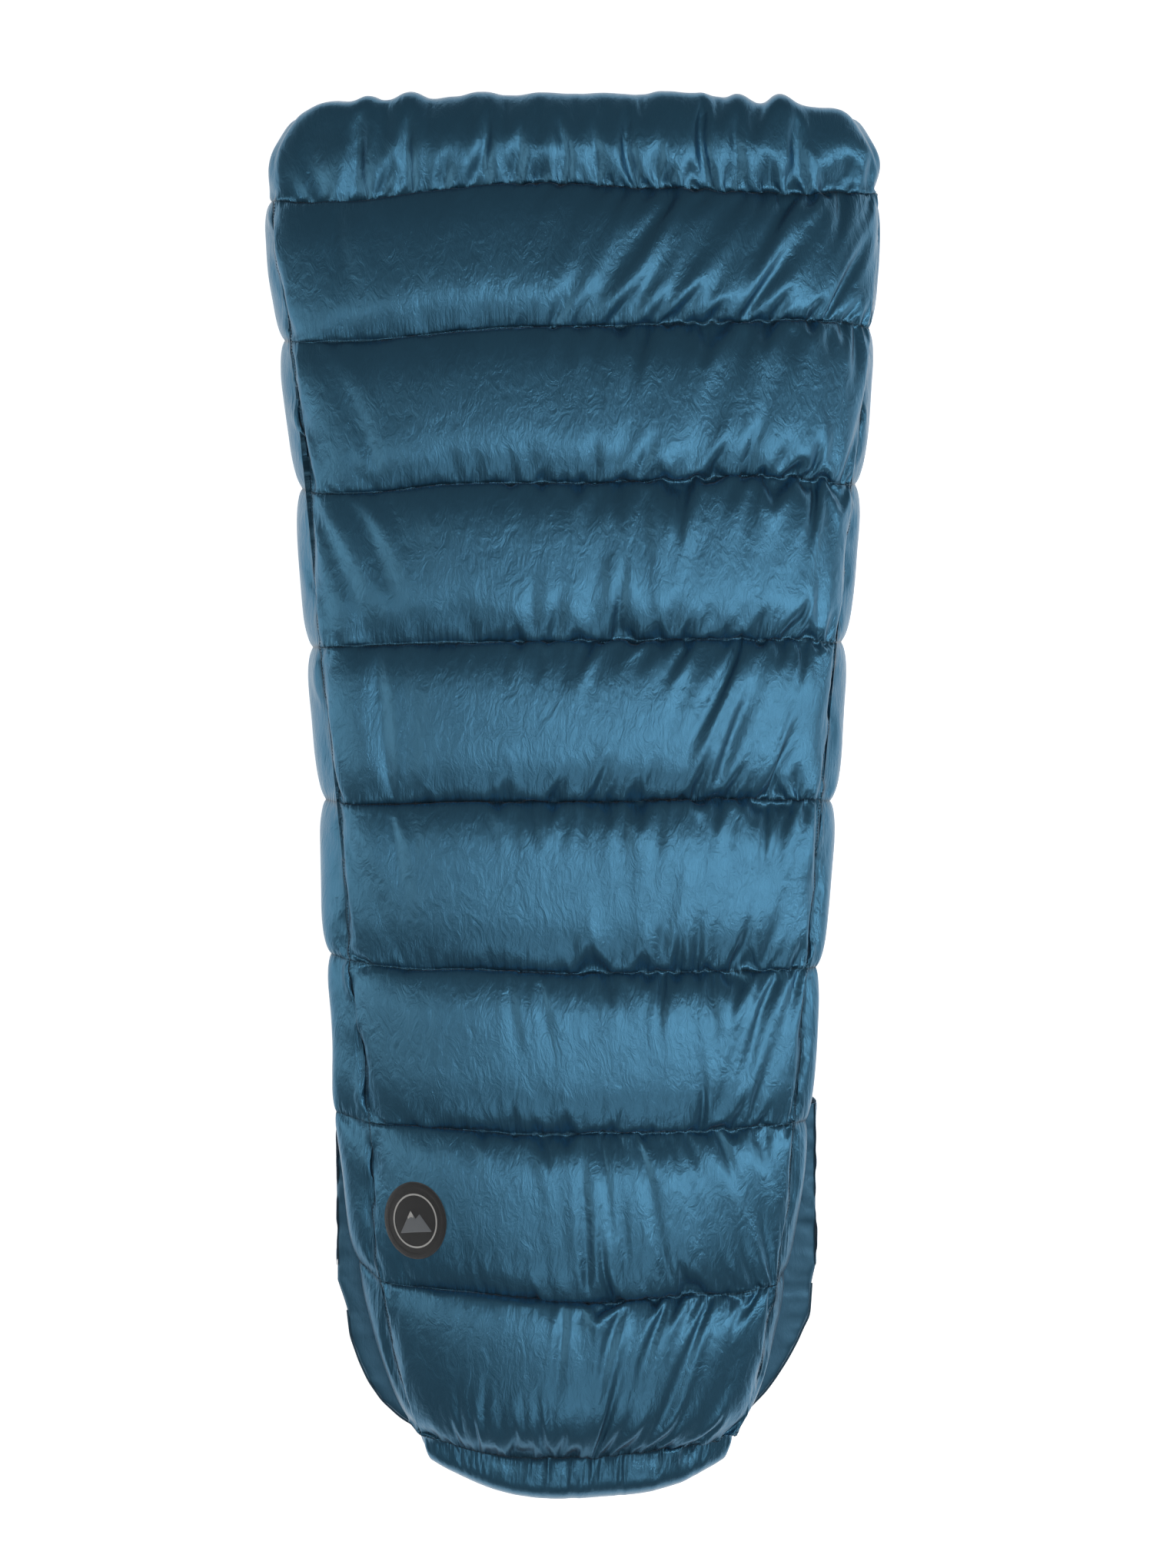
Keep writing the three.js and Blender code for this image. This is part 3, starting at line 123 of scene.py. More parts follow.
def across(u):
    a = np.sin(np.pi * np.clip(u, 0, 4) / 4).clip(0) ** 0.8
    b = np.sin(np.pi * np.clip(16 - u, 0, 4) / 4).clip(0) ** 0.8
    c = (1 - (np.abs((u - 8) / 4).clip(0, 1)) ** 5).clip(0) ** 0.8
    return np.where(u <= 4, a, np.where(u >= 12, b, c))


def along(v):
    s = np.abs(2 * (v - np.floor(v)) - 1)
    mid = (1 - s ** 4.0).clip(0) ** 0.72
    a = np.interp(v, [0, .2, .5, .75, 1], [0, 1, .95, .8, 0]); b = np.interp(v, [9, 9.25, 9.5, 9.75, 10], [0, .8, 1, .8, 0])
    return np.where(v < 1, a, np.where(v > 9, b, mid))


side = (U < 4) | (U > 12)
CROWN = np.where(V < 1, np.where(side, 14.4, 24), np.where(V > 9, np.where(side, 9, 22), np.where(side, np.where(V > 6, 9, 12), 27))) / 1000
CROWN = np.where(V > 9, (0.010 + 0.018 * np.exp(-((U - 8) / 4.2) ** 4)), np.where(V < 1, 0.0075 + 0.0165 * np.exp(-((U - 8) / 4.6) ** 6), CROWN))
B = base(UC, VC, NET)
LB = base(UC, VC, NET + LIN)
NB = normals(B, B - LB)
# soften the end chambers' profile, which is a table of straight pieces
ACR = across(U)
endw = step(V, 9.0, 9.18)
ACR = ACR * (1 - endw) + endw * (1 - (np.abs(U - 8) / 8) ** 5).clip(0) ** 0.7
ALG = along(V)
ker = np.array([1, 4, 6, 4, 1]) / 16
for _ in range(6):
    for r0, r1 in ((1, SEAM[0] - 1), (SEAM[8] + 1, NR - 2)):
        blk = ALG[r0 - 1:r1 + 2].copy(); ALG[r0:r1 + 1] = 0.25 * blk[:-2] + 0.5 * blk[1:-1] + 0.25 * blk[2:]
D = B + NB * (CROWN * ACR * ALG)[..., None]

def widths():
    du = np.linalg.norm(np.diff(D, axis=1), axis=2); b = np.linalg.norm(np.diff(B, axis=1), axis=2); W = du.copy()
    for k in range(8):
        r0, r1 = SEAM[k], SEAM[k + 1]; m = (r0 + r1) // 2
        ratio = (du[m - 4:m + 5] / np.maximum(b[m - 4:m + 5], 1e-6)).mean(0)
        W[r0:r1 + 1] = np.maximum(du[r0:r1 + 1], b[r0:r1 + 1] * (1 + (ratio - 1) * CUT[None]))
    m = SEAM[8] - 10; W[SEAM[8]:SEAM[8] + 12] = np.maximum(du[SEAM[8]:SEAM[8] + 12], b[SEAM[8]:SEAM[8] + 12] * 1.03)
    W[SEAM[0] - 16:SEAM[0]] = np.maximum(du[SEAM[0] - 16:SEAM[0]], b[SEAM[0] - 16:SEAM[0]] * 1.03)
    return W


ce = np.exp(-((V - 0.24) / 0.17) ** 2) * ((U > 3) & (U < 13))
bunch = 0.0025 * noise(B[..., 0] / 0.040, V / 0.9, 61) + 0.0050 * np.exp(-((B[..., 0] + 0.272) / 0.018) ** 2) - 0.0045 * np.exp(-((B[..., 0] + 0.245) / 0.014) ** 2)
bunch += 0.0045 * np.exp(-((B[..., 0] + 0.214) / 0.018) ** 2) - 0.0045 * np.exp(-((B[..., 0] + 0.186) / 0.014) ** 2) + 0.005 * np.exp(-((B[..., 0] - 0.215) / 0.014) ** 2)
bunch += -0.0055 * np.exp(-((B[..., 0] - 0.246) / 0.013) ** 2) + 0.006 * np.exp(-((B[..., 0] - 0.275) / 0.016) ** 2)
D = D + NB * (ce * bunch)[..., None]
SV = np.zeros((NR, NC)); SV[1:] = np.cumsum(np.linalg.norm(np.diff(B, axis=0), axis=2), 0)
SU = np.zeros((NR, NC)); SU[:, 1:] = np.cumsum(np.linalg.norm(np.diff(B, axis=1), axis=2), 1)
SU -= SU[:, (CL + CR) // 2][:, None]
rows = np.arange(NR)
near = np.full((NR, NC), 9.0)                 # metres to the nearest cross seam
for r in SEAM:
    near = np.minimum(near, np.abs(SV - SV[r][None]))
sgn = np.zeros(NR)
nearL = np.minimum(np.abs(SU - SU[:, CL][:, None]), np.abs(SU - SU[:, CR][:, None]))
nearL[:SEAM[0]] = 9; nearL[SEAM[8]:] = 9
X, Y = B[..., 0], B[..., 1]
top = ~side

# ------------------------------------------------------------------ how much spare cloth there is, and where
right = step(X, -0.17, 0.08)
CUT = 0.35 + 0.65 * (0.5 * (right[200, 1:] + right[200, :-1])); CUT[:NS] = 0.10; CUT[-NS:] = 0.10
edge = np.exp(-(near / 0.050) ** 2)
exu = (0.006 + 0.042 * right * (0.60 + 0.45 * noise(SU / 0.09, SV / 0.2, 3))) * (0.38 + 0.62 * edge)
exu += 0.018 * edge * step(X, -0.30, -0.05)
exu += 0.045 * np.exp(-((V - 9.0) / 0.33) ** 2) * np.exp(-(X / 0.21) ** 6) * np.where(V > 9, 0.22, 1)
exu += 0.050 * (V < 1) * step(V, 0.1, 0.5) * (0.4 + 0.6 * (np.exp(-((X + 0.26) / 0.06) ** 2) + np.exp(-((X - 0.24) / 0.05) ** 2) + 0.5 * right))
exu = np.where(side, 0.004, exu).clip(0, 0.11)
exv = np.where(side, 0.004, 0.006 + 0.010 * np.abs(noise(SU / 0.10, SV / 0.10, 5)))
calm = (V < 0.25) | (V > 9.6)
exu = np.where(calm, 0.35 * exu, exu)
# skew: which way the long creases run
gam = 0.030 * noise(SU / 0.13, SV / 0.13, 7)
gam += 0.150 * np.exp(-((V - 1.55) / 0.55) ** 2) * np.exp(-((X - 0.12) / 0.22) ** 2)
gam += 0.060 * np.exp(-((V - 2.6) / 0.5) ** 2) * np.exp(-((X - 0.02) / 0.12) ** 2)
gam += 0.110 * np.exp(-((V - 0.6) / 0.4) ** 2) * np.exp(-((X - 0.24) / 0.12) ** 2)
gam += 0.070 * np.exp(-((V - 4.7) / 0.4) ** 2) * np.exp(-((X - 0.2) / 0.10) ** 2)
gam -= 0.150 * np.exp(-((V - 7.35) / 0.45) ** 2) * np.exp(-((X - 0.17) / 0.11) ** 2)
gam += 0.120 * np.exp(-((V - 8.5) / 0.5) ** 2) * np.exp(-((X - 0.11) / 0.15) ** 2)
gam -= 0.045 * np.exp(-((X + 0.24) / 0.10) ** 2) * (V > 1) * (V < 8)
gam = np.where(side | calm, 0, gam)
amp = np.where(side, 0.0006, 0.0004 + 0.0022 * right * (0.35 + 0.65 * edge))
amp += 0.0022 * np.exp(-((V - 9.0) / 0.4) ** 2) * top * np.where(V > 9, 0.2, 1) + 0.0030 * ((V < 1) & top) * (0.3 + np.exp(-((X + 0.26) / 0.07) ** 2))
start = amp * (noise(SU / 0.020, SV / 0.11, 11) + 0.8 * noise(SU / 0.045, SV / 0.15, 12))
start += amp * 0.8 * noise((SU + 0.7 * SV) / 0.026, (SV - 0.7 * SU) / 0.15, 13) * (V < 3)
start += amp * 0.8 * noise((SU - 0.7 * SV) / 0.026, (SV + 0.7 * SU) / 0.15, 14) * (V > 7)
start[calm] *= 0.3
start += 0.0004 * noise(SU / 0.011, SV / 0.035, 15) * top * (0.3 + 0.7 * right)

# ------------------------------------------------------------------ pins: seams and hems, a little uneven
PIN = np.zeros((NR, NC), bool)
for r in SEAM:
    PIN[r] = True
PIN[0] = PIN[-1] = True; PIN[:, 0] = PIN[:, -1] = True
PIN[SEAM[0]:SEAM[8] + 1, CL] = True; PIN[SEAM[0]:SEAM[8] + 1, CR] = True
HOLD = B.copy()
HOLD[SEAM[8]] += NB[SEAM[8]] * (0.0035 + 0.0035 * step(np.abs(UC - 8), 3.3, 4.3))[:, None]
for i, r in enumerate(SEAM):
    m = top[r] * (0.4 + 0.6 * right[r])
    HOLD[r, :, 1] += m * (0.0016 * noise(SU[r] / 0.022, SU[r] * 0 + i, 21) + 0.0007 * noise(SU[r] / 0.007, SU[r] * 0 + i, 22))
    HOLD[r, :, 2] += 0.0006 * top[r] + m * (0.0010 + 0.0014 * noise(SU[r] / 0.018, SU[r] * 0 + i, 23)).clip(0)   # never under the top edge of its baffle
for c, s in ((CL, 24), (CR, 25)):
    q = slice(SEAM[0], SEAM[8] + 1)
    k = np.minimum(1, near[q, c] / 0.02)
    HOLD[q, c, 0] += k * 0.0022 * noise(SV[q, c] / 0.03, SV[q, c] * 0, s)
    HOLD[q, c, 2] += k * 0.0015 * noise(SV[q, c] / 0.025, SV[q, c] * 0 + 3, s)


def relax(D, N, start, pin, hold, exu, exv, gam, seams, levels, Bw, seed_amp=1.0, cap=0.013):
    """Settles a cloth grid with spare width against its design surface, coarse to fine."""
    P = None
    f4 = lambda a: np.ascontiguousarray(a, dtype=np.float32)
    for s, iters in levels:
        d, n, pn, h = (f4(a[::s, ::s]) for a in (D, N, pin.astype(float), hold))
        pn = pn > 0.5
        eu, ev, g = exu[::s, ::s], exv[::s, ::s], gam[::s, ::s]
        Lu = (Bw[::s, :].reshape(d.shape[0], -1, s).sum(2)) * (1 + 0.5 * (eu[:, 1:] + eu[:, :-1]))
        Lv = np.linalg.norm(np.diff(d, axis=0), axis=2) * (1 + 0.5 * (ev[1:] + ev[:-1]))
        lu = 0.5 * (Lu[1:] + Lu[:-1]); lv = 0.5 * (Lv[:, 1:] + Lv[:, :-1])
        # the grid isn't square everywhere, so the diagonals start from its own skew
        ed = d[1:, 1:] - d[:-1, :-1]; eb = d[1:, :-1] - d[:-1, 1:]
        da, db = np.linalg.norm(ed, axis=2), np.linalg.norm(eb, axis=2)
        flat = np.sqrt(lu ** 2 + lv ** 2); own = (da - db) / np.maximum(da + db, 1e-9)
        gg = 0.25 * (g[1:, 1:] + g[:-1, 1:] + g[1:, :-1] + g[:-1, :-1])
        La, Lb = f4(flat * (1 + own + gg / 2)), f4(flat * (1 + -own - gg / 2))
        Lu, Lv = f4(Lu), f4(Lv)
        if P is None:
            P = d + n * f4(start[::s, ::s])[..., None] * seed_amp
        else:
            ps = lastu[0]; R, C = d.shape[:2]
            Q = np.empty((R, P.shape[1], 3), np.float32); Q[::2] = P; Q[1::2] = 0.5 * (P[1:] + P[:-1])
            W = np.empty((R, C, 3), np.float32); W[:, ::2] = Q; W[:, 1::2] = 0.5 * (Q[:, 1:] + Q[:, :-1])
            # carry the shape over as an offset from the design surface
            dl = lastd; Q2 = np.empty((R, dl.shape[1], 3), np.float32); Q2[::2] = dl; Q2[1::2] = 0.5 * (dl[1:] + dl[:-1])
            W2 = np.empty((R, C, 3), np.float32); W2[:, ::2] = Q2; W2[:, 1::2] = 0.5 * (Q2[:, 1:] + Q2[:, :-1])
            P = d + (W - W2) + n * f4(start[::s, ::s])[..., None] * (0.25 * seed_amp)
        lastd = d; lastu = (s,)
        P[pn] = h[pn]
        O = P.copy()
        free = (~pn)[..., None].astype(np.float32)
        rr = np.arange(d.shape[0]); bad = np.zeros(d.shape[0], bool)
        for q in seams:
            bad |= np.abs(rr - q // s) <= 1
        mv = f4(np.where(bad, 0.0, 1.0))[2:-2, None, None]
        kc, kb = 0.80, {4: 0.003, 2: 0.006, 1: 0.013}[s]
        kf = {4: 0.0016, 2: 0.0011, 1: 0.0008}[s]
        stiffdiag = 0.9

        def pull(a, bb, L, ks, kcc):
            e = bb - a; l = np.sqrt(np.einsum('ijk,ijk->ij', e, e)) + 1e-9
            x = (l - L) / l; x = np.where(x > 0, x * ks, x * kcc) * 0.5
            e *= x[..., None]
            a += e; bb -= e
        for it in range(iters):
            T = P + 0.86 * (P - O); O = P.copy(); P = T
            off = P - d
            P -= n * (np.einsum('ijk,ijk->ij', off, n)[..., None] * kf)
            for k in range(2):
                pull(P[:, k:-1:2], P[:, k + 1::2], Lu[:, k::2], 1.0, kc)
                pull(P[k:-1:2], P[k + 1::2], Lv[k::2], 1.0, 0.30)
                pull(P[k:-1:2, :-1], P[k + 1::2, 1:], La[k::2], stiffdiag, 0.06)
                pull(P[k:-1:2, 1:], P[k + 1::2, :-1], Lb[k::2], stiffdiag, 0.06)
                P = P * free + h * (1 - free)
            bi = P[:, :-4] - 4 * P[:, 1:-3] + 6 * P[:, 2:-2] - 4 * P[:, 3:-1] + P[:, 4:]
            bj = (P[:-4] - 4 * P[1:-3] + 6 * P[2:-2] - 4 * P[3:-1] + P[4:]) * mv
            P[:, 2:-2] -= kb * bi; P[2:-2] -= kb * bj
            if it % 8 == 7 or it == iters - 1:
                off = P - d; l = np.sqrt(np.einsum('ijk,ijk->ij', off, off)); q = np.minimum(1, cap / np.maximum(l, 1e-6))
                P = d + off * q[..., None]
            P = P * free + h * (1 - free)
    return P.astype(float)


LEVELS = [(4, 240), (2, 220), (1, 180)]
import time
t0 = time.time()
P = relax(D, NB, start, PIN, HOLD, exu, exv, gam, SEAM, LEVELS, widths())
print("cloth settled in %.1f s" % (time.time() - t0))
off = P - D; lo = np.linalg.norm(off, axis=2); lim = 0.0030 + 0.50 * near + 0.0075 * (V > 8.6)
P = D + off * np.minimum(1, lim / np.maximum(lo, 1e-6))[..., None]
# small gathers drawn in by the stitching, both sides of every cross seam
NP = normals(P, B - LB)
g = noise(SU / 0.0052, SV / 0.06, 31) + 0.6 * noise(SU / 0.0090, SV / 0.05, 32)
P += NP * (np.where(top, 1, 0.35) * (0.25 + 0.75 * right) * 0.0009 * g * np.exp(-near / 0.011) * (1 - np.exp(-near / 0.0012)))[..., None]
g = noise(SV / 0.0055, SU / 0.05, 33)
P += NP * (0.0006 * g * np.exp(-nearL / 0.009) * (1 - np.exp(-nearL / 0.0012)) * (1 - np.exp(-near / 0.004)))[..., None]

fq = step(V, 8.80, 9.35)
P[..., 0] = P[..., 0] * (1 - 0.055 * fq) - 0.003 * fq
P[..., 2] = np.maximum(P[..., 2], 0.0030)
# the lining, at half the grid
sl = 2
LBH = LB[::sl, ::sl]; NBH = normals(LBH, LBH - B[::sl, ::sl])
lh = lambda a: np.ascontiguousarray(a[::sl, ::sl])
bil = lh(np.where(side, 0.0012, np.where(V > 5.5, 0.0025, 0.006)) * ACR * ALG)
LD = LBH + NBH * bil[..., None]
LPIN = lh(PIN)
wr = lh(noise(SU / 0.024, SV / 0.10, 41) * 0.0012 * np.exp(-near / 0.035) + noise(SU / 0.06, SV / 0.08, 42) * 0.0009)
LP = LD + NBH * (wr * (~LPIN) * lh(np.where(side | calm, 0.35, 1.0)))[..., None]
fql = fq[::sl, ::sl]   # the lining narrows with the outer cloth at the foot
LP[..., 0] = LP[..., 0] * (1 - 0.055 * fql) - 0.003 * fql
LP[..., 2] = np.maximum(LP[..., 2], 0.0034)
SLM = [r // sl for r in SEAM]; LCL, LCR = CL // sl, CR // sl

# ------------------------------------------------------------------ materials
def mat(name, build):
    m = bpy.data.materials.new(name); m.use_nodes = True
    nt = m.node_tree; bs = nt.nodes["Principled BSDF"]
    class K: pass
    k = K(); k.nt, k.bs = nt, bs
    def N(t, **kw):
        x = nt.nodes.new(t)
        for a, v in kw.items(): setattr(x, a, v)
        return x
    def L(a, b): nt.links.new(a, b)
    def M(op, a, b=None, c=None):
        x = N("ShaderNodeMath", operation=op)
        for i, v in enumerate((a, b, c)):
            if v is None: continue
            if hasattr(v, "links"): L(v, x.inputs[i])
            else: x.inputs[i].default_value = v
        return x.outputs[0]
    k.N, k.L, k.M = N, L, M
    build(k); return m


def uvmap(k, sx, sy, off=(0, 0)):
    uv = k.N("ShaderNodeUVMap"); uv.uv_map = "cloth"
    mp = k.N("ShaderNodeMapping"); k.L(uv.outputs[0], mp.inputs["Vector"])
    mp.inputs["Scale"].default_value = (sx, sy, 1); mp.inputs["Location"].default_value = (off[0], off[1], 0)
    return mp.outputs[0]


def nz(k, vec, scale=1.0, detail=2.0, rough=0.5, dist=0.0):
    n = k.N("ShaderNodeTexNoise"); k.L(vec, n.inputs["Vector"])
    n.inputs["Scale"].default_value = scale; n.inputs["Detail"].default_value = detail
    n.inputs["Roughness"].default_value = rough; n.inputs["Distortion"].default_value = dist
    return n.outputs["Fac"]


def cloth(color, metallic=0.55, rough=0.40, sheen=0.15, crinkle=1.0, groove_shade=0.55):
    def f(k):
        at = k.N("ShaderNodeAttribute"); at.attribute_name = "seam"; at.attribute_type = "GEOMETRY"
        d = at.outputs["Fac"]
        groove_shade_mask = k.M("POWER", 2.718, k.M("MULTIPLY", d, -420.0))      # the stitched groove itself, which gets painted shade in the base colour
        zone = k.M("POWER", 2.718, k.M("MULTIPLY", d, -95.0))        # the gathered band beside it
        big = nz(k, uvmap(k, 9, 9), 1, 3, 0.55)
        fine = nz(k, uvmap(k, 160, 90), 1, 3, 0.6, 0.4)
        cr = nz(k, uvmap(k, 55, 26, (3, 1)), 1, 4, 0.62, 1.2)
        gat = nz(k, uvmap(k, 210, 22), 1, 2, 0.5, 0.3)
        wx = k.N("ShaderNodeTexWave", wave_type="BANDS", bands_direction="X"); k.L(uvmap(k, 520, 520), wx.inputs["Vector"]); wx.inputs["Scale"].default_value = 1
        wy = k.N("ShaderNodeTexWave", wave_type="BANDS", bands_direction="Y"); k.L(uvmap(k, 520, 520), wy.inputs["Vector"]); wy.inputs["Scale"].default_value = 1
        weave = k.M("MULTIPLY", wx.outputs["Fac"], wy.outputs["Fac"])
        mixer = k.N("ShaderNodeMix", data_type="RGBA", blend_type="MIX")
        mixer.inputs["A"].default_value = (*[c * 0.86 for c in color], 1); mixer.inputs["B"].default_value = (*[min(1, c * 1.12) for c in color], 1)
        k.L(big, mixer.inputs["Factor"])
        # painted shade: the base colour is multiplied darker in each stitched seam groove, standing in for the shadow
        # that falls in the recess
        groove_shade_mix = k.N("ShaderNodeMix", data_type="RGBA", blend_type="MULTIPLY"); groove_shade_mix.inputs["B"].default_value = (*[groove_shade * 0.55] * 3, 1)
        k.L(mixer.outputs["Result"], groove_shade_mix.inputs["A"]); k.L(k.M("MULTIPLY", groove_shade_mask, 0.9), groove_shade_mix.inputs["Factor"])
        k.L(groove_shade_mix.outputs["Result"], k.bs.inputs["Base Color"])
        k.L(k.M("ADD", k.M("MULTIPLY", fine, 0.10), rough - 0.05), k.bs.inputs["Roughness"])
        h = k.M("ADD", k.M("MULTIPLY", cr, 0.0010 * crinkle), k.M("MULTIPLY", fine, 0.00028 * crinkle))
        h = k.M("ADD", h, k.M("MULTIPLY", k.M("MULTIPLY", gat, zone), 0.0026 * crinkle))
        h = k.M("ADD", h, k.M("MULTIPLY", weave, 0.00004))
        bp = k.N("ShaderNodeBump"); bp.inputs["Strength"].default_value = 0.65; bp.inputs["Distance"].default_value = 1.0
        k.L(h, bp.inputs["Height"]); k.L(bp.outputs["Normal"], k.bs.inputs["Normal"])
        k.bs.inputs["Metallic"].default_value = metallic
        k.bs.inputs["Sheen Weight"].default_value = sheen; k.bs.inputs["Sheen Roughness"].default_value = 0.4
        k.bs.inputs["Specular IOR Level"].default_value = 0.4
    return f


M_OUT = mat("outer_nylon", cloth((0.050, 0.162, 0.262), 0.80, 0.33, 0.10, 2.3))
M_LIN = mat("lining_nylon", cloth((0.030, 0.085, 0.135), 0.35, 0.5, 0.1, 0.9))
M_SLV = mat("sleeve_nylon", cloth((0.044, 0.140, 0.225), 0.5, 0.45, 0.12, 1.3))
M_TAPE = mat("binding_tape", cloth((0.024, 0.075, 0.115), 0.1, 0.62, 0.2, 0.8, 0.9))


def plain(color, rough, scale, bump, metallic=0.0, sheen=0.0):
    def f(k):
        tc = k.N("ShaderNodeTexCoord")
        a = k.N("ShaderNodeTexNoise"); k.L(tc.outputs["Object"], a.inputs["Vector"]); a.inputs["Scale"].default_value = scale; a.inputs["Detail"].default_value = 4
        mx = k.N("ShaderNodeMix", data_type="RGBA"); mx.inputs["A"].default_value = (*[c * 0.8 for c in color], 1); mx.inputs["B"].default_value = (*[min(1, c * 1.15) for c in color], 1)
        k.L(a.outputs["Fac"], mx.inputs["Factor"]); k.L(mx.outputs["Result"], k.bs.inputs["Base Color"])
        k.L(k.M("ADD", k.M("MULTIPLY", a.outputs["Fac"], 0.15), rough - 0.07), k.bs.inputs["Roughness"])
        b = k.N("ShaderNodeBump"); b.inputs["Strength"].default_value = 0.6; b.inputs["Distance"].default_value = bump
        k.L(a.outputs["Fac"], b.inputs["Height"]); k.L(b.outputs["Normal"], k.bs.inputs["Normal"])
        k.bs.inputs["Metallic"].default_value = metallic; k.bs.inputs["Sheen Weight"].default_value = sheen
    return f


def thread(color):
    def f(k):
        w = k.N("ShaderNodeTexWave", wave_type="BANDS", bands_direction="DIAGONAL"); k.L(uvmap(k, 900, 900), w.inputs["Vector"]); w.inputs["Scale"].default_value = 1; w.inputs["Distortion"].default_value = 1.5
        mx = k.N("ShaderNodeMix", data_type="RGBA"); mx.inputs["A"].default_value = (*[c * 0.7 for c in color], 1); mx.inputs["B"].default_value = (*[min(1, c * 1.2) for c in color], 1)
        k.L(w.outputs["Fac"], mx.inputs["Factor"]); k.L(mx.outputs["Result"], k.bs.inputs["Base Color"])
        b = k.N("ShaderNodeBump"); b.inputs["Strength"].default_value = 0.8; b.inputs["Distance"].default_value = 0.0004
        k.L(w.outputs["Fac"], b.inputs["Height"]); k.L(b.outputs["Normal"], k.bs.inputs["Normal"])
        k.bs.inputs["Roughness"].default_value = 0.7; k.bs.inputs["Sheen Weight"].default_value = 0.3
    return f


M_DOWN = mat("down_clusters", plain((0.80, 0.78, 0.72), 0.95, 160, 0.004, 0, 0.5))
M_MESH = mat("baffle_netting", plain((0.55, 0.57, 0.58), 0.8, 900, 0.0006))
M_ELAS = mat("elastic_tape", plain((0.05, 0.06, 0.065), 0.75, 600, 0.0008))
M_BLK = mat("badge_charcoal", thread((0.016, 0.017, 0.019)))
M_PALE = mat("badge_pale", thread((0.62, 0.62, 0.60)))
M_GREY = mat("badge_grey", thread((0.20, 0.22, 0.24)))
M_THR = mat("seam_thread", plain((0.018, 0.055, 0.085), 0.7, 2000, 0.0003))

for n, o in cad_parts.items():
    m = M_DOWN if "fill" in n else M_MESH if n.startswith("baffle") else M_ELAS if "elastic" in n else M_TAPE if ("binding" in n or "hem" in n) else M_LIN if "lining" in n or "floor" in n else M_SLV if "sleeve" in n else M_BLK if "badge" in n else M_OUT
    for i in range(len(o.material_slots)):
        o.material_slots[i].material = m


# ------------------------------------------------------------------ meshes from grids
def build(name, verts, quads, material, slot=None, uv=None, seam=None, mats=None, fmat=None, smooth=True):
    verts = np.asarray(verts, float).reshape(-1, 3); quads = np.asarray(quads, int)
    me = bpy.data.meshes.new(name); nq, kk = quads.shape
    me.vertices.add(len(verts)); me.vertices.foreach_set("co", verts.ravel())
    me.loops.add(nq * kk); me.loops.foreach_set("vertex_index", quads.ravel().astype(np.int32))
    me.polygons.add(nq); me.polygons.foreach_set("loop_start", np.arange(0, nq * kk, kk, dtype=np.int32))
    me.polygons.foreach_set("loop_total", np.full(nq, kk, np.int32))
    me.polygons.foreach_set("use_smooth", np.full(nq, smooth))
    for m in (mats or [material]): me.materials.append(m)
    if fmat is not None: me.polygons.foreach_set("material_index", np.asarray(fmat, np.int32))
    me.update(calc_edges=True); me.validate()
    lay = me.uv_layers.new(name="cloth")
    uv = np.zeros((len(verts), 2)) if uv is None else np.asarray(uv, float).reshape(-1, 2)
    idx = np.empty(len(me.loops), np.int32); me.loops.foreach_get("vertex_index", idx)
    lay.data.foreach_set("uv", uv[idx].ravel())
    a = me.attributes.new("seam", "FLOAT", "POINT")
    a.data.foreach_set("value", (np.full(len(verts), 0.05) if seam is None else np.asarray(seam, float).ravel()).astype(np.float32))
    o = bpy.data.objects.new(name, me); scene.collection.objects.link(o)
    return o


def gridquads(R, C, flip=False, first=0):
    i = np.arange(R * C).reshape(R, C) + first
    q = np.stack([i[:-1, :-1], i[1:, :-1], i[1:, 1:], i[:-1, 1:]], -1).reshape(-1, 4)
    return q[:, ::-1] if flip else q


SDIST = np.minimum(near, nearL)


def sheetpiece(name, P, uv, sd, r0, r1, c0, c1, material, slot, flip=False, tuck=None, tuckto=None, both=None):
    q = P[r0:r1 + 1, c0:c1 + 1]; u = uv[r0:r1 + 1, c0:c1 + 1]; s = sd[r0:r1 + 1, c0:c1 + 1]
    if tuck is not None:                 # extra columns that run on under the neighbour across the long seam
        dirn = tuckto[r0:r1 + 1]
        add = [(q[:, -1] if tuck > 0 else q[:, 0]) + dirn * k for k in (0.34, 0.68, 1.0)]
        if tuck > 0:
            q = np.concatenate([q, np.stack(add, 1)], 1); u = np.concatenate([u, np.repeat(u[:, -1:], 3, 1)], 1); s = np.concatenate([s, np.repeat(s[:, -1:], 3, 1)], 1)
        else:
            q = np.concatenate([np.stack(add[::-1], 1), q], 1); u = np.concatenate([np.repeat(u[:, :1], 3, 1), u], 1); s = np.concatenate([np.repeat(s[:, :1], 3, 1), s], 1)
    if both is not None:                 # the top panel's own flanges, one along each long seam
        fl_, fr_ = both[0][r0:r1 + 1], both[1][r0:r1 + 1]; ks = (0.34, 0.68, 1.0)
        lf = np.stack([q[:, 0] + fl_ * k for k in ks][::-1], 1); rt = np.stack([q[:, -1] + fr_ * k for k in ks], 1)
        q = np.concatenate([lf, q, rt], 1); u = np.concatenate([np.repeat(u[:, :1], 3, 1), u, np.repeat(u[:, -1:], 3, 1)], 1); s = np.concatenate([np.repeat(s[:, :1], 3, 1), s, np.repeat(s[:, -1:], 3, 1)], 1)
    return build(name, q, gridquads(q.shape[0], q.shape[1], flip), material, slot, u, s)


UVF = np.stack([SU, -SV], -1)
# both cloths have a hidden flange that runs to the hinge line, which doesn't move, so nothing opens when a side lifts
HINGE = {"left": (Vector((-0.34418, 0.28, 0.11027)), Vector((-0.101273, 0.994722, -0.01651))),
         "right": (Vector((0.35655, 0.28, 0.08915)), Vector((0.096963, 0.993908, -0.052399)))}


def toaxis(E_, sd, vrow, drop=0.0012):
    p0, ax = np.array(HINGE[sd][0]), np.array(HINGE[sd][1])
    t = (E_ - p0) @ ax; on = p0 + t[:, None] * ax - np.array([0, 0, drop])
    w = (1 - step(vrow, 6.0, 6.15))[:, None]
    return (on - E_) * w + np.array([0, 0, -0.0015]) * (1 - w)


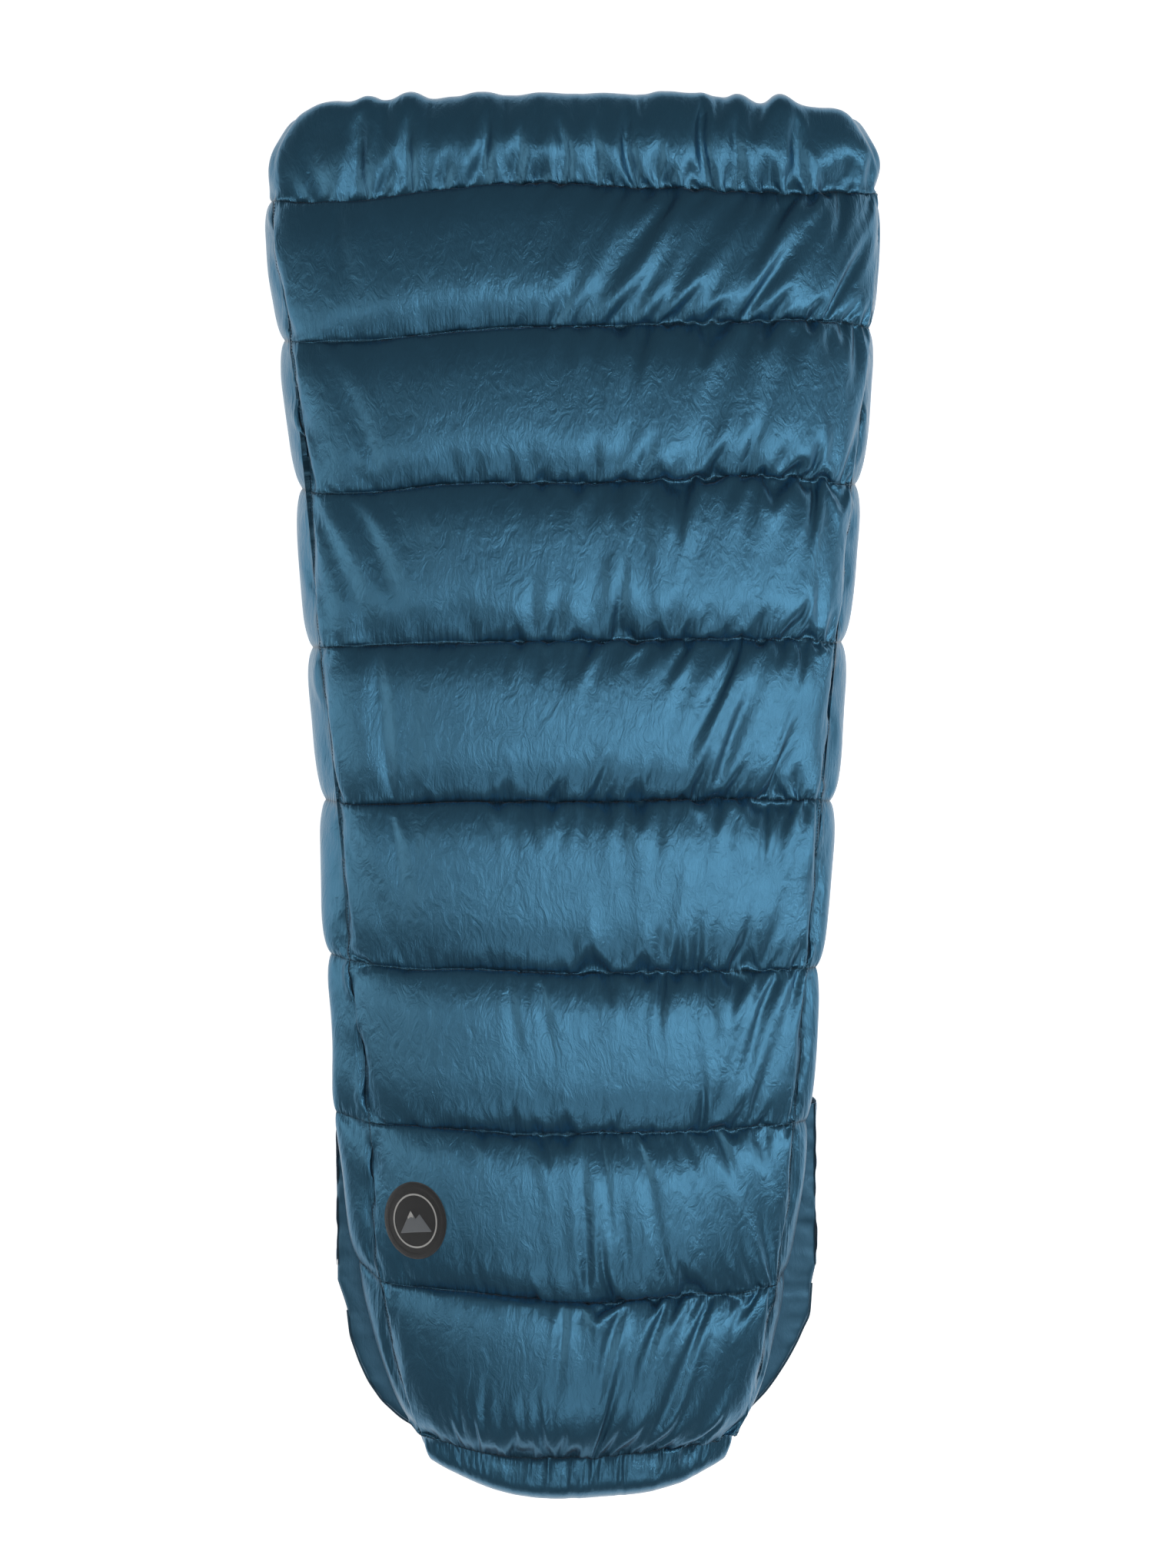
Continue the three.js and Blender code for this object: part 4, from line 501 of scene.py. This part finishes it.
r1, r9 = SEAM[0], SEAM[8]
SPLIT = RC + int(RF * 2.5)                     # the moving sides are made in two pieces, split in the fourth chamber
inL, inR = toaxis(P[:, CL], "left", VC), toaxis(P[:, CR], "right", VC)
lnL, lnR = toaxis(LP[:, LCL], "left", VC[::sl], 0.004), toaxis(LP[:, LCR], "right", VC[::sl], 0.004)
outer_top = sheetpiece("top_panel", P, UVF, SDIST, r1, SEAM[4], CL, CR, M_OUT, "outer_fabric", both=(inL, inR))
outer_top2 = sheetpiece("top_panel_foot", P, UVF, SDIST, SEAM[4], r9, CL, CR, M_OUT, "outer_fabric", both=(inL, inR))
collar = sheetpiece("head_collar", P, UVF, SDIST, 0, r1, 0, NC - 1, M_OUT, "outer_fabric")
foot = sheetpiece("foot_end", P, UVF, SDIST, r9, NR - 1, 0, NC - 1, M_OUT, "outer_fabric")
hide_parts("outer_top_panel"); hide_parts("outer_top_panel")
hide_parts("head_collar_shell"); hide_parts("foot_end_shell")
for o in (outer_top, outer_top2, collar, foot):
    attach(o, "quilt_body")


def blended(o, sd, head):
    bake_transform(o)
    return o


UVL = UVF[::sl, ::sl]; SDL = SDIST[::sl, ::sl]
for sd, c0, c1, tuck, flip in (("left", 0, CL, 1, False), ("right", CR, NC - 1, -1, False)):
    to, tl = (inL, lnL) if sd == "left" else (inR, lnR)
    l0, l1 = c0 // sl, c1 // sl
    for head, ra, rb, nm, node in ((True, r1, SPLIT, "head", f"{sd}_side_shell"), (False, SPLIT, r9, "foot", f"{sd}_foot_side_shell")):
        o = sheetpiece(f"{sd}_side_{nm}", P, UVF, SDIST, ra, rb, c0, c1, M_OUT, "outer_fabric", False, tuck, to)
        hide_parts(node); blended(o, sd, head)
        o = sheetpiece(f"{sd}_lining_{nm}", LP, UVL, SDL, ra // sl, rb // sl, l0, l1, M_LIN, "lining_fabric", True, tuck, tl)
        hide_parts(node.replace("shell", "lining")); blended(o, sd, head)
for nm, ra, rb, ca, cb, nodes in (("lining_top", r1, r9, CL, CR, ("top_lining", "left_lining_strip", "right_lining_strip")), ("lining_collar", 0, r1, 0, NC - 1, ("collar_lining",)), ("lining_foot", r9, NR - 1, 0, NC - 1, ("foot_end_lining",))):
    o = sheetpiece(nm, LP, UVL, SDL, ra // sl, rb // sl, ca // sl, cb // sl, M_LIN, "lining_fabric", True, both=(lnL, lnR) if nm == "lining_top" else None)
    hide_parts(*nodes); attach(o, "quilt_body")


# ------------------------------------------------------------------ hems: a rolled tape from the outer edge to the lining edge
def hemtape(name, A, Bp, out, width=0.0035):
    n = len(A); ks = np.linspace(0, math.pi, 9); mid = (A + Bp) / 2; half = (A - Bp) / 2
    o = unit(out); q = np.stack([mid + half * math.cos(t) * 1.12 + o * (width * math.sin(t) + 0.0004) for t in ks], 1)
    s = np.concatenate([[0], np.cumsum(np.linalg.norm(np.diff(mid, axis=0), axis=1))])
    q += o[:, None] * (0.0005 * noise(s / 0.008, s * 0, 51))[:, None, None]
    uv = np.stack(np.broadcast_arrays(s[:, None], ks[None] * 0.003), -1)
    return build(name, q, gridquads(n, 9), M_TAPE, "binding_tape", uv)


eo = P[0, ::sl]; el = LP[0]; outw = P[0, ::sl] - P[4, ::sl]
o = hemtape("collar_hem", eo, el, outw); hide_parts("collar_hem_binding"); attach(o, "quilt_body")
o = hemtape("foot_hem", P[-1, ::sl], LP[-1], P[-1, ::sl] - P[-5, ::sl]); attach(o, "quilt_body")
for sd, c, inner in (("left", 0, 2), ("right", NC - 1, NC - 3)):
    for head, ra, rb, nm in ((True, r1, SPLIT, "head"), (False, SPLIT, r9, "foot")):
        A = P[ra:rb + 1:sl, c]; Bq = LP[ra // sl:rb // sl + 1, c // sl]
        o = hemtape(f"{sd}_hem_{nm}", A, Bq, P[ra:rb + 1:sl, c] - P[ra:rb + 1:sl, inner])
        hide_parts(f"{sd}_side_hem"); blended(o, sd, head)

# ------------------------------------------------------------------ down inside each chamber, a soft block between shell and lining
OFFN = ((P - D) * NB).sum(-1)
LOWN = OFFN.copy()
for _ in range(7):
    q = LOWN.copy(); q[1:] = np.minimum(q[1:], LOWN[:-1]); q[:-1] = np.minimum(q[:-1], LOWN[1:]); w_ = q.copy(); w_[:, 1:] = np.minimum(w_[:, 1:], q[:, :-1]); w_[:, :-1] = np.minimum(w_[:, :-1], q[:, 1:]); LOWN = w_
LOWP = D + NB * LOWN[..., None]


def fillpiece(name, ra, rb, ca, cb, node, body, share=0.55, how=None):
    i = np.unique(np.linspace(ra + 3, rb - 3, 9).astype(int)); j = np.unique(np.linspace(ca + (14 if cb - ca > 60 else 5), cb - (14 if cb - ca > 60 else 5), 41 if cb - ca > 60 else 7).astype(int))
    a = LOWP[np.ix_(i, j)]; l = LP[np.ix_(i // sl, j // sl)]; d = l - a; L = np.linalg.norm(d, axis=2, keepdims=True)
    t0_ = np.minimum(0.42, 0.009 / np.maximum(L, 1e-4)); e = (ALG * ACR)[np.ix_(i, j)][..., None]
    A = a + d * t0_; Z = a + d * (t0_ + (1 - 2 * t0_) * (0.35 + 0.65 * e) * share)
    R, C = A.shape[:2]; n = R * C; idx = np.arange(n).reshape(R, C)
    rim = np.concatenate([idx[0, :], idx[1:, -1], idx[-1, -2::-1], idx[-2:0:-1, 0]])
    nx = np.roll(rim, -1)
    q = np.concatenate([gridquads(R, C), gridquads(R, C, True, n), np.stack([rim, nx, nx + n, rim + n], 1)])
    o = build(name, np.concatenate([A.reshape(-1, 3), Z.reshape(-1, 3)]), q, M_DOWN, "down")
    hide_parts(node)
    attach(o, body) if how is None else blended(o, *how)


fillpiece("down_collar", 6, r1, CL, CR, "down_fill_1", "quilt_body")
for k in range(8):
    fillpiece(f"down_chamber_{k+2}", SEAM[k], SEAM[k + 1], CL, CR, f"down_fill_{k+2}", "quilt_body")
fillpiece("down_foot", r9, NR - 10, CL, CR, "down_fill_10", "quilt_body")
for sd, ca, cb in (("left", 0, CL), ("right", CR, NC - 1)):
    for k in range(5):
        fillpiece(f"down_{sd}_{k+1}", SEAM[k], SEAM[k + 1], ca, cb, f"{sd}_side_fill_{k+1}", f"{sd}_side", 0.5, (sd, True) if k < 2 else (sd, False) if k > 2 else None)

# ------------------------------------------------------------------ stitches
def stitches(name, lines, body, length=0.0031, pitch=0.0043, rad=0.00034, lift=0.0003):
    V_, Q_ = [], []
    base_ = 0
    for pts, nrm in lines:
        s = np.concatenate([[0], np.cumsum(np.linalg.norm(np.diff(pts, axis=0), axis=1))])
        for c in np.arange(pitch, s[-1] - pitch, pitch):
            p, q = (np.array([np.interp(c + e * length / 2, s, pts[:, k]) for k in range(3)]) for e in (-1, 1))
            n = unit(np.array([np.interp(c, s, nrm[:, k]) for k in range(3)])); t = unit(q - p); b = np.cross(n, t); m = (p + q) / 2 + n * lift
            rings = []
            for f, rr_, dz in ((-0.5, 0.35, -0.0003), (-0.32, 1, 0), (0.32, 1, 0), (0.5, 0.35, -0.0003)):
                for a in range(6):
                    rings.append(m + t * (f * length) + n * dz + (n * math.sin(a * math.pi / 3) + b * math.cos(a * math.pi / 3)) * rad * rr_)
            V_ += rings
            for k in range(3):
                for a in range(6):
                    Q_.append([base_ + k * 6 + a, base_ + k * 6 + (a + 1) % 6, base_ + (k + 1) * 6 + (a + 1) % 6, base_ + (k + 1) * 6 + a])
            base_ += 24
    o = build(name, np.array(V_), np.array(Q_), M_THR)
    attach(o, body); return o


NP = normals(P, B - LB)
stitches("cross_seam_stitching", [(P[r, CL:CR + 1], NP[r, CL:CR + 1]) for r in SEAM], "quilt_body")
stitches("long_seam_stitching", [(P[r1:r9 + 1, c], NP[r1:r9 + 1, c]) for c in (CL + 1, CR - 1)], "quilt_body")

# ------------------------------------------------------------------ foot box floor and pad sleeve
HW, HY = 0.321, -0.425
SC_R = np.array([[313, -664], [310, -708], [303, -720], [294, -741], [281, -765], [265, -790], [251, -809], [232, -828], [216, -848], [200, -856]]) / 1000
SC_L = np.array([[-305, -700], [-301, -734], [-289, -768], [-277, -794], [-259, -820], [-235, -842], [-221, -851], [-205, -856]]) / 1000
W3 = HW - 0.003
ys = np.concatenate([np.linspace(-0.425, -0.640, 70), np.linspace(-0.640, -0.856, 90)[1:]])
rx = np.where(ys > -0.640, W3, np.interp(-ys, [0.640, *(-SC_R[:, 1])], [W3, *SC_R[:, 0]]))
lx = np.where(ys > -0.660, -W3, np.interp(-ys, [0.660, *(-SC_L[:, 1])], [-W3, *SC_L[:, 0]]))
nx_ = 180
tt = np.linspace(0, 1, nx_)
GX = lx[:, None] * (1 - tt) + rx[:, None] * tt; GY = np.repeat(ys[:, None], nx_, 1)


def sleeve(name, z, up, node, seed):
    e = np.minimum(tt, 1 - tt)[None] * (rx - lx)[:, None]
    w = 0.0010 * noise(GX / 0.05, GY / 0.014, seed) + 0.0006 * noise((GX + GY) / 0.02, (GX - GY) / 0.05, seed + 1)
    w *= np.exp(-e / 0.10) * 0.9 + 0.25
    zz = z + up * (w - 0.0005) - up * 0.0035 * np.exp(-e / 0.004)
    if z < 0.05: zz = np.maximum(zz, 0.0004)
    q = np.stack([GX - CEN[0], GY - CEN[1], zz], -1)
    o = build(name, q, gridquads(len(ys), nx_, up < 0), M_SLV, "sleeve_fabric", np.stack([GX, GY], -1), 0.02 + 0 * e)
    m = o.modifiers.new("thickness", "SOLIDIFY"); m.thickness = 0.0006; m.offset = -1
    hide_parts(node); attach(o, "quilt_body")
    return o


sleeve("sleeve_top", 0.0910, 1, "sleeve_top_sheet", 61)
sleeve("sleeve_bottom", 0.0012, -1, "sleeve_bottom_sheet", 71)
for nm, s, seed in (("left", -1, 81), ("right", 1, 91)):
    yy = np.linspace(-0.425, -0.640, 80); zz = np.linspace(0.001, 0.0890, 36); GYs, GZ = np.meshgrid(yy, zz, indexing="ij")
    bow = 0.0030 * np.sin(np.pi * GZ / 0.09) + 0.0009 * noise(GYs / 0.018, GZ / 0.05, seed)
    q = np.stack([s * (W3 + 0.0010 + bow) - CEN[0], GYs - CEN[1], GZ], -1)
    o = build(f"sleeve_gusset_{nm}", q, gridquads(80, 36, s > 0), M_SLV, "sleeve_fabric", np.stack([GYs, GZ], -1), np.minimum(GZ, 0.09 - GZ) + 0.002)
    m = o.modifiers.new("thickness", "SOLIDIFY"); m.thickness = 0.0006; m.offset = -1
    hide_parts(f"sleeve_{nm}_gusset"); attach(o, "quilt_body")

fl = np.array([[-292, -452], [-282, -560], [-262, -650], [-235, -740], [-196, -838]]) / 1000
fr = np.array([[284, -452], [274, -560], [252, -650], [226, -740], [194, -838]]) / 1000
yf = np.linspace(-0.452, -0.838, 90); xa = np.interp(-yf, -fl[:, 1], fl[:, 0]); xb = np.interp(-yf, -fr[:, 1], fr[:, 0]); t2 = np.linspace(0, 1, 120)
FX = xa[:, None] * (1 - t2) + xb[:, None] * t2; FY = np.repeat(yf[:, None], 120, 1)
q = np.stack([FX - CEN[0], FY - CEN[1], 0.0931 + 0.0007 * noise(FX / 0.04, FY / 0.02, 101)], -1)
o = build("foot_floor", q, gridquads(90, 120), M_LIN, "lining_fabric", np.stack([FX, FY], -1))
m = o.modifiers.new("thickness", "SOLIDIFY"); m.thickness = 0.0006; m.offset = -1
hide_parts("foot_box_floor"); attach(o, "quilt_body")


def cordtape(name, pts, node, r=0.0013):
    d = np.gradient(pts, axis=0); t = unit(d); up = np.array([0, 0, 1.0]); b = unit(np.cross(t, up)); n = 12
    k = np.arange(n) * 2 * math.pi / n
    q = pts[:, None] + b[:, None] * (np.cos(k) * r)[None, :, None] + up[None, None] * (np.sin(k) * r * 0.8)[None, :, None]
    idx = np.arange(len(pts) * n).reshape(len(pts), n); a = idx[:-1]; c = idx[1:]
    qd = np.stack([a, np.roll(a, -1, 1), np.roll(c, -1, 1), c], -1).reshape(-1, 4)
    o = build(name, q, qd, M_TAPE, "binding_tape", np.stack(np.broadcast_arrays(np.linspace(0, .25, len(pts))[:, None], (k * 0.001)[None]), -1))
    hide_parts(node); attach(o, "quilt_body")


for nm, S in (("left", SC_L), ("right", SC_R)):
    s = np.concatenate([[0], np.cumsum(np.linalg.norm(np.diff(S, axis=0), axis=1))]); t = np.linspace(0, s[-1], 70)
    pts = np.stack([np.interp(t, s, S[:, 0]) - CEN[0], np.interp(t, s, S[:, 1]) - CEN[1], 0.0895 + 0 * t], 1)
    for _ in range(6): pts[1:-1] = 0.25 * pts[:-2] + 0.5 * pts[1:-1] + 0.25 * pts[2:]
    cordtape(f"scoop_tape_{nm}", pts, f"scoop_binding_{nm}")

# ------------------------------------------------------------------ badge: a plain oval patch with a pale ring and a simple peak
bx, by, brx, bry, tilt = -0.209 - CEN[0], -0.566 - CEN[1], 0.041, 0.050, 0.10
nr_, na_ = 44, 144
rad = np.linspace(0, 1, nr_ + 1)[1:]; ang = np.linspace(0, 2 * math.pi, na_, endpoint=False)
ex, ey = brx * rad[:, None] * np.cos(ang), bry * rad[:, None] * np.sin(ang)
qx = bx + ex * math.cos(tilt) - ey * math.sin(tilt); qy = by + ex * math.sin(tilt) + ey * math.cos(tilt)
reg = P[SEAM[6] - 4:SEAM[7] + 5, CL:CL + 170].reshape(-1, 3); reg = reg[(np.abs(reg[:, 0] - bx) < 0.07) & (np.abs(reg[:, 1] - by) < 0.08)]


def lay(x, y, sig=0.007):
    out = np.empty(x.size); xf, yf_ = x.ravel(), y.ravel()
    for a in range(0, x.size, 2000):
        w = np.exp(-((xf[a:a+2000, None] - reg[:, 0]) ** 2 + (yf_[a:a+2000, None] - reg[:, 1]) ** 2) / (2 * sig ** 2)); out[a:a+2000] = (w @ reg[:, 2]) / (w.sum(1) + 1e-12)
    return out.reshape(x.shape)


def patch(x, y, rr):
    z = lay(x, y)
    prof = np.where(rr > 0.97, -0.0012 * (rr - 0.97) / 0.03, 0) + 0.0004 * ((rr > 0.86) & (rr < 0.97)) + 0.0004 * ((rr > 0.66) & (rr < 0.70))
    return z + 0.0026 + prof


qz = patch(qx, qy, np.repeat(rad[:, None], na_, 1))
cen = np.array([[bx, by, float(patch(np.array([bx]), np.array([by]), np.array([0.0]))[0])]])
vv = np.concatenate([cen, np.stack([qx, qy, qz], -1).reshape(-1, 3)])
idx = 1 + np.arange(nr_ * na_).reshape(nr_, na_)
tri = np.stack([np.zeros(na_, int), idx[0], np.roll(idx[0], -1), np.roll(idx[0], -1)], 1)
lx_ = np.concatenate([[0], (ex / brx).ravel()]); ly_ = np.concatenate([[0], (ey / bry).ravel()])
qd = np.stack([idx[:-1], idx[1:], np.roll(idx[1:], -1, 1), np.roll(idx[:-1], -1, 1)], -1).reshape(-1, 4)
rq = np.repeat((rad[:-1] + rad[1:])[:, None] / 2, na_, 1).ravel()
fm = np.where((rq > 0.665) & (rq < 0.705), 1, 0)
# rim wall down to the cloth
low = np.stack([qx[-1], qy[-1], qz[-1] - 0.0022], 1); nlow = len(vv) + np.arange(na_); vv = np.concatenate([vv, low])
rim = np.stack([idx[-1], nlow, np.roll(nlow, -1), np.roll(idx[-1], -1)], 1)
o = build("badge_patch", vv, np.concatenate([qd, rim]), None, "badge_cloth", np.concatenate([np.stack([lx_ * brx, ly_ * bry], 1), low[:, :2]]), None, [M_BLK, M_PALE], np.concatenate([fm, np.zeros(na_, int)]))
bmx = o.data
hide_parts("badge_base"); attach(o, "quilt_body")
cap = build("badge_centre", vv[:1 + na_], np.stack([np.zeros(na_, int), idx[0], np.roll(idx[0], -1)], 1), M_BLK, "badge_cloth"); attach(cap, "quilt_body")


def glyph(name, outline, material, lift):
    """A raised embroidered shape from height lines: for each x, from ylow to yhigh, in badge units."""
    xs_, lo_, hi_ = (np.array(a, float) for a in outline)
    t = np.linspace(xs_[0], xs_[-1], 61); lo = np.interp(t, xs_, lo_); hi = np.interp(t, xs_, hi_); k = np.linspace(0, 1, 13)
    gx = np.repeat(t[:, None], 13, 1) * brx; gy = (lo[:, None] * (1 - k) + hi[:, None] * k) * bry
    wx, wy = bx + gx * math.cos(tilt) - gy * math.sin(tilt), by + gx * math.sin(tilt) + gy * math.cos(tilt)
    e = np.minimum(np.minimum(k, 1 - k)[None] * (hi - lo)[:, None] * bry, (np.minimum(t - t[0], t[-1] - t) * brx)[:, None])
    z = lay(wx, wy) + 0.0026 + lift * (1 - np.exp(-e / 0.0006)) - 0.0002
    o = build(name, np.stack([wx, wy, z], -1), gridquads(61, 13, True), material, "badge_thread", np.stack([gx, gy], -1))
    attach(o, "quilt_body"); return o


g1 = glyph("badge_peak", ([-.50, -.12, .02, .16, .50], [-.30, -.30, -.30, -.30, -.30], [-.29, .28, .06, .18, -.29]), M_GREY, 0.0010)
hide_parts("badge_emblem")
glyph("badge_snow", ([-.24, -.12, -.03], [.04, .10, .06], [.10, .27, .12]), M_PALE, 0.0014)

# ------------------------------------------------------------------ floor, light and camera
me = bpy.data.meshes.new("floor"); me.from_pydata([(-60, -60, -0.0005), (60, -60, -0.0005), (60, 60, -0.0005), (-60, 60, -0.0005)], [], [(0, 1, 2, 3)])
fl_o = bpy.data.objects.new("floor", me); scene.collection.objects.link(fl_o)


def floor_mat(k):
    k.bs.inputs["Base Color"].default_value = (0.95, 0.95, 0.95, 1); k.bs.inputs["Roughness"].default_value = 1.0
    k.bs.inputs["Emission Color"].default_value = (1, 1, 1, 1); k.bs.inputs["Emission Strength"].default_value = 0.8


me.materials.append(mat("white_floor", floor_mat))
w = bpy.data.worlds.new("studio") if scene.world is None else scene.world
scene.world = w; w.use_nodes = True
bg = w.node_tree.nodes.get("Background") or w.node_tree.nodes.new("ShaderNodeBackground")
bg.inputs[0].default_value = (0.96, 0.98, 1.0, 1); bg.inputs[1].default_value = 0.155


def area(name, loc, aim, size, power, color=(1, 1, 1)):
    l = bpy.data.lights.new(name, "AREA"); l.shape = "RECTANGLE"; l.size, l.size_y = size; l.energy = power; l.color = color
    o = bpy.data.objects.new(name, l); scene.collection.objects.link(o); o.location = loc
    o.rotation_euler = (Vector(aim) - Vector(loc)).to_track_quat("-Z", "Y").to_euler(); return o


area("key_right", (1.74, 0.0, 2.75), (0.20, 0.0, 0.1), (0.34, 5.8), 53)
area("fill_left", (-2.9, 0.0, 1.9), (-0.2, 0, 0.1), (0.8, 4.4), 25, (1.0, 0.93, 0.88))
area("overhead", (0.25, -2.0, 3.2), (0.05, -0.6, 0.1), (2.0, 1.0), 11.0)
cam = bpy.data.cameras.new("camera"); co = bpy.data.objects.new("camera", cam); scene.collection.objects.link(co)
co.location = (0.0026, 0.008, 3.2); cam.sensor_fit = "HORIZONTAL"; cam.sensor_width = 36; cam.lens = 72.98; cam.clip_end = 60
scene.camera = co
scene.view_settings.view_transform = "Standard"
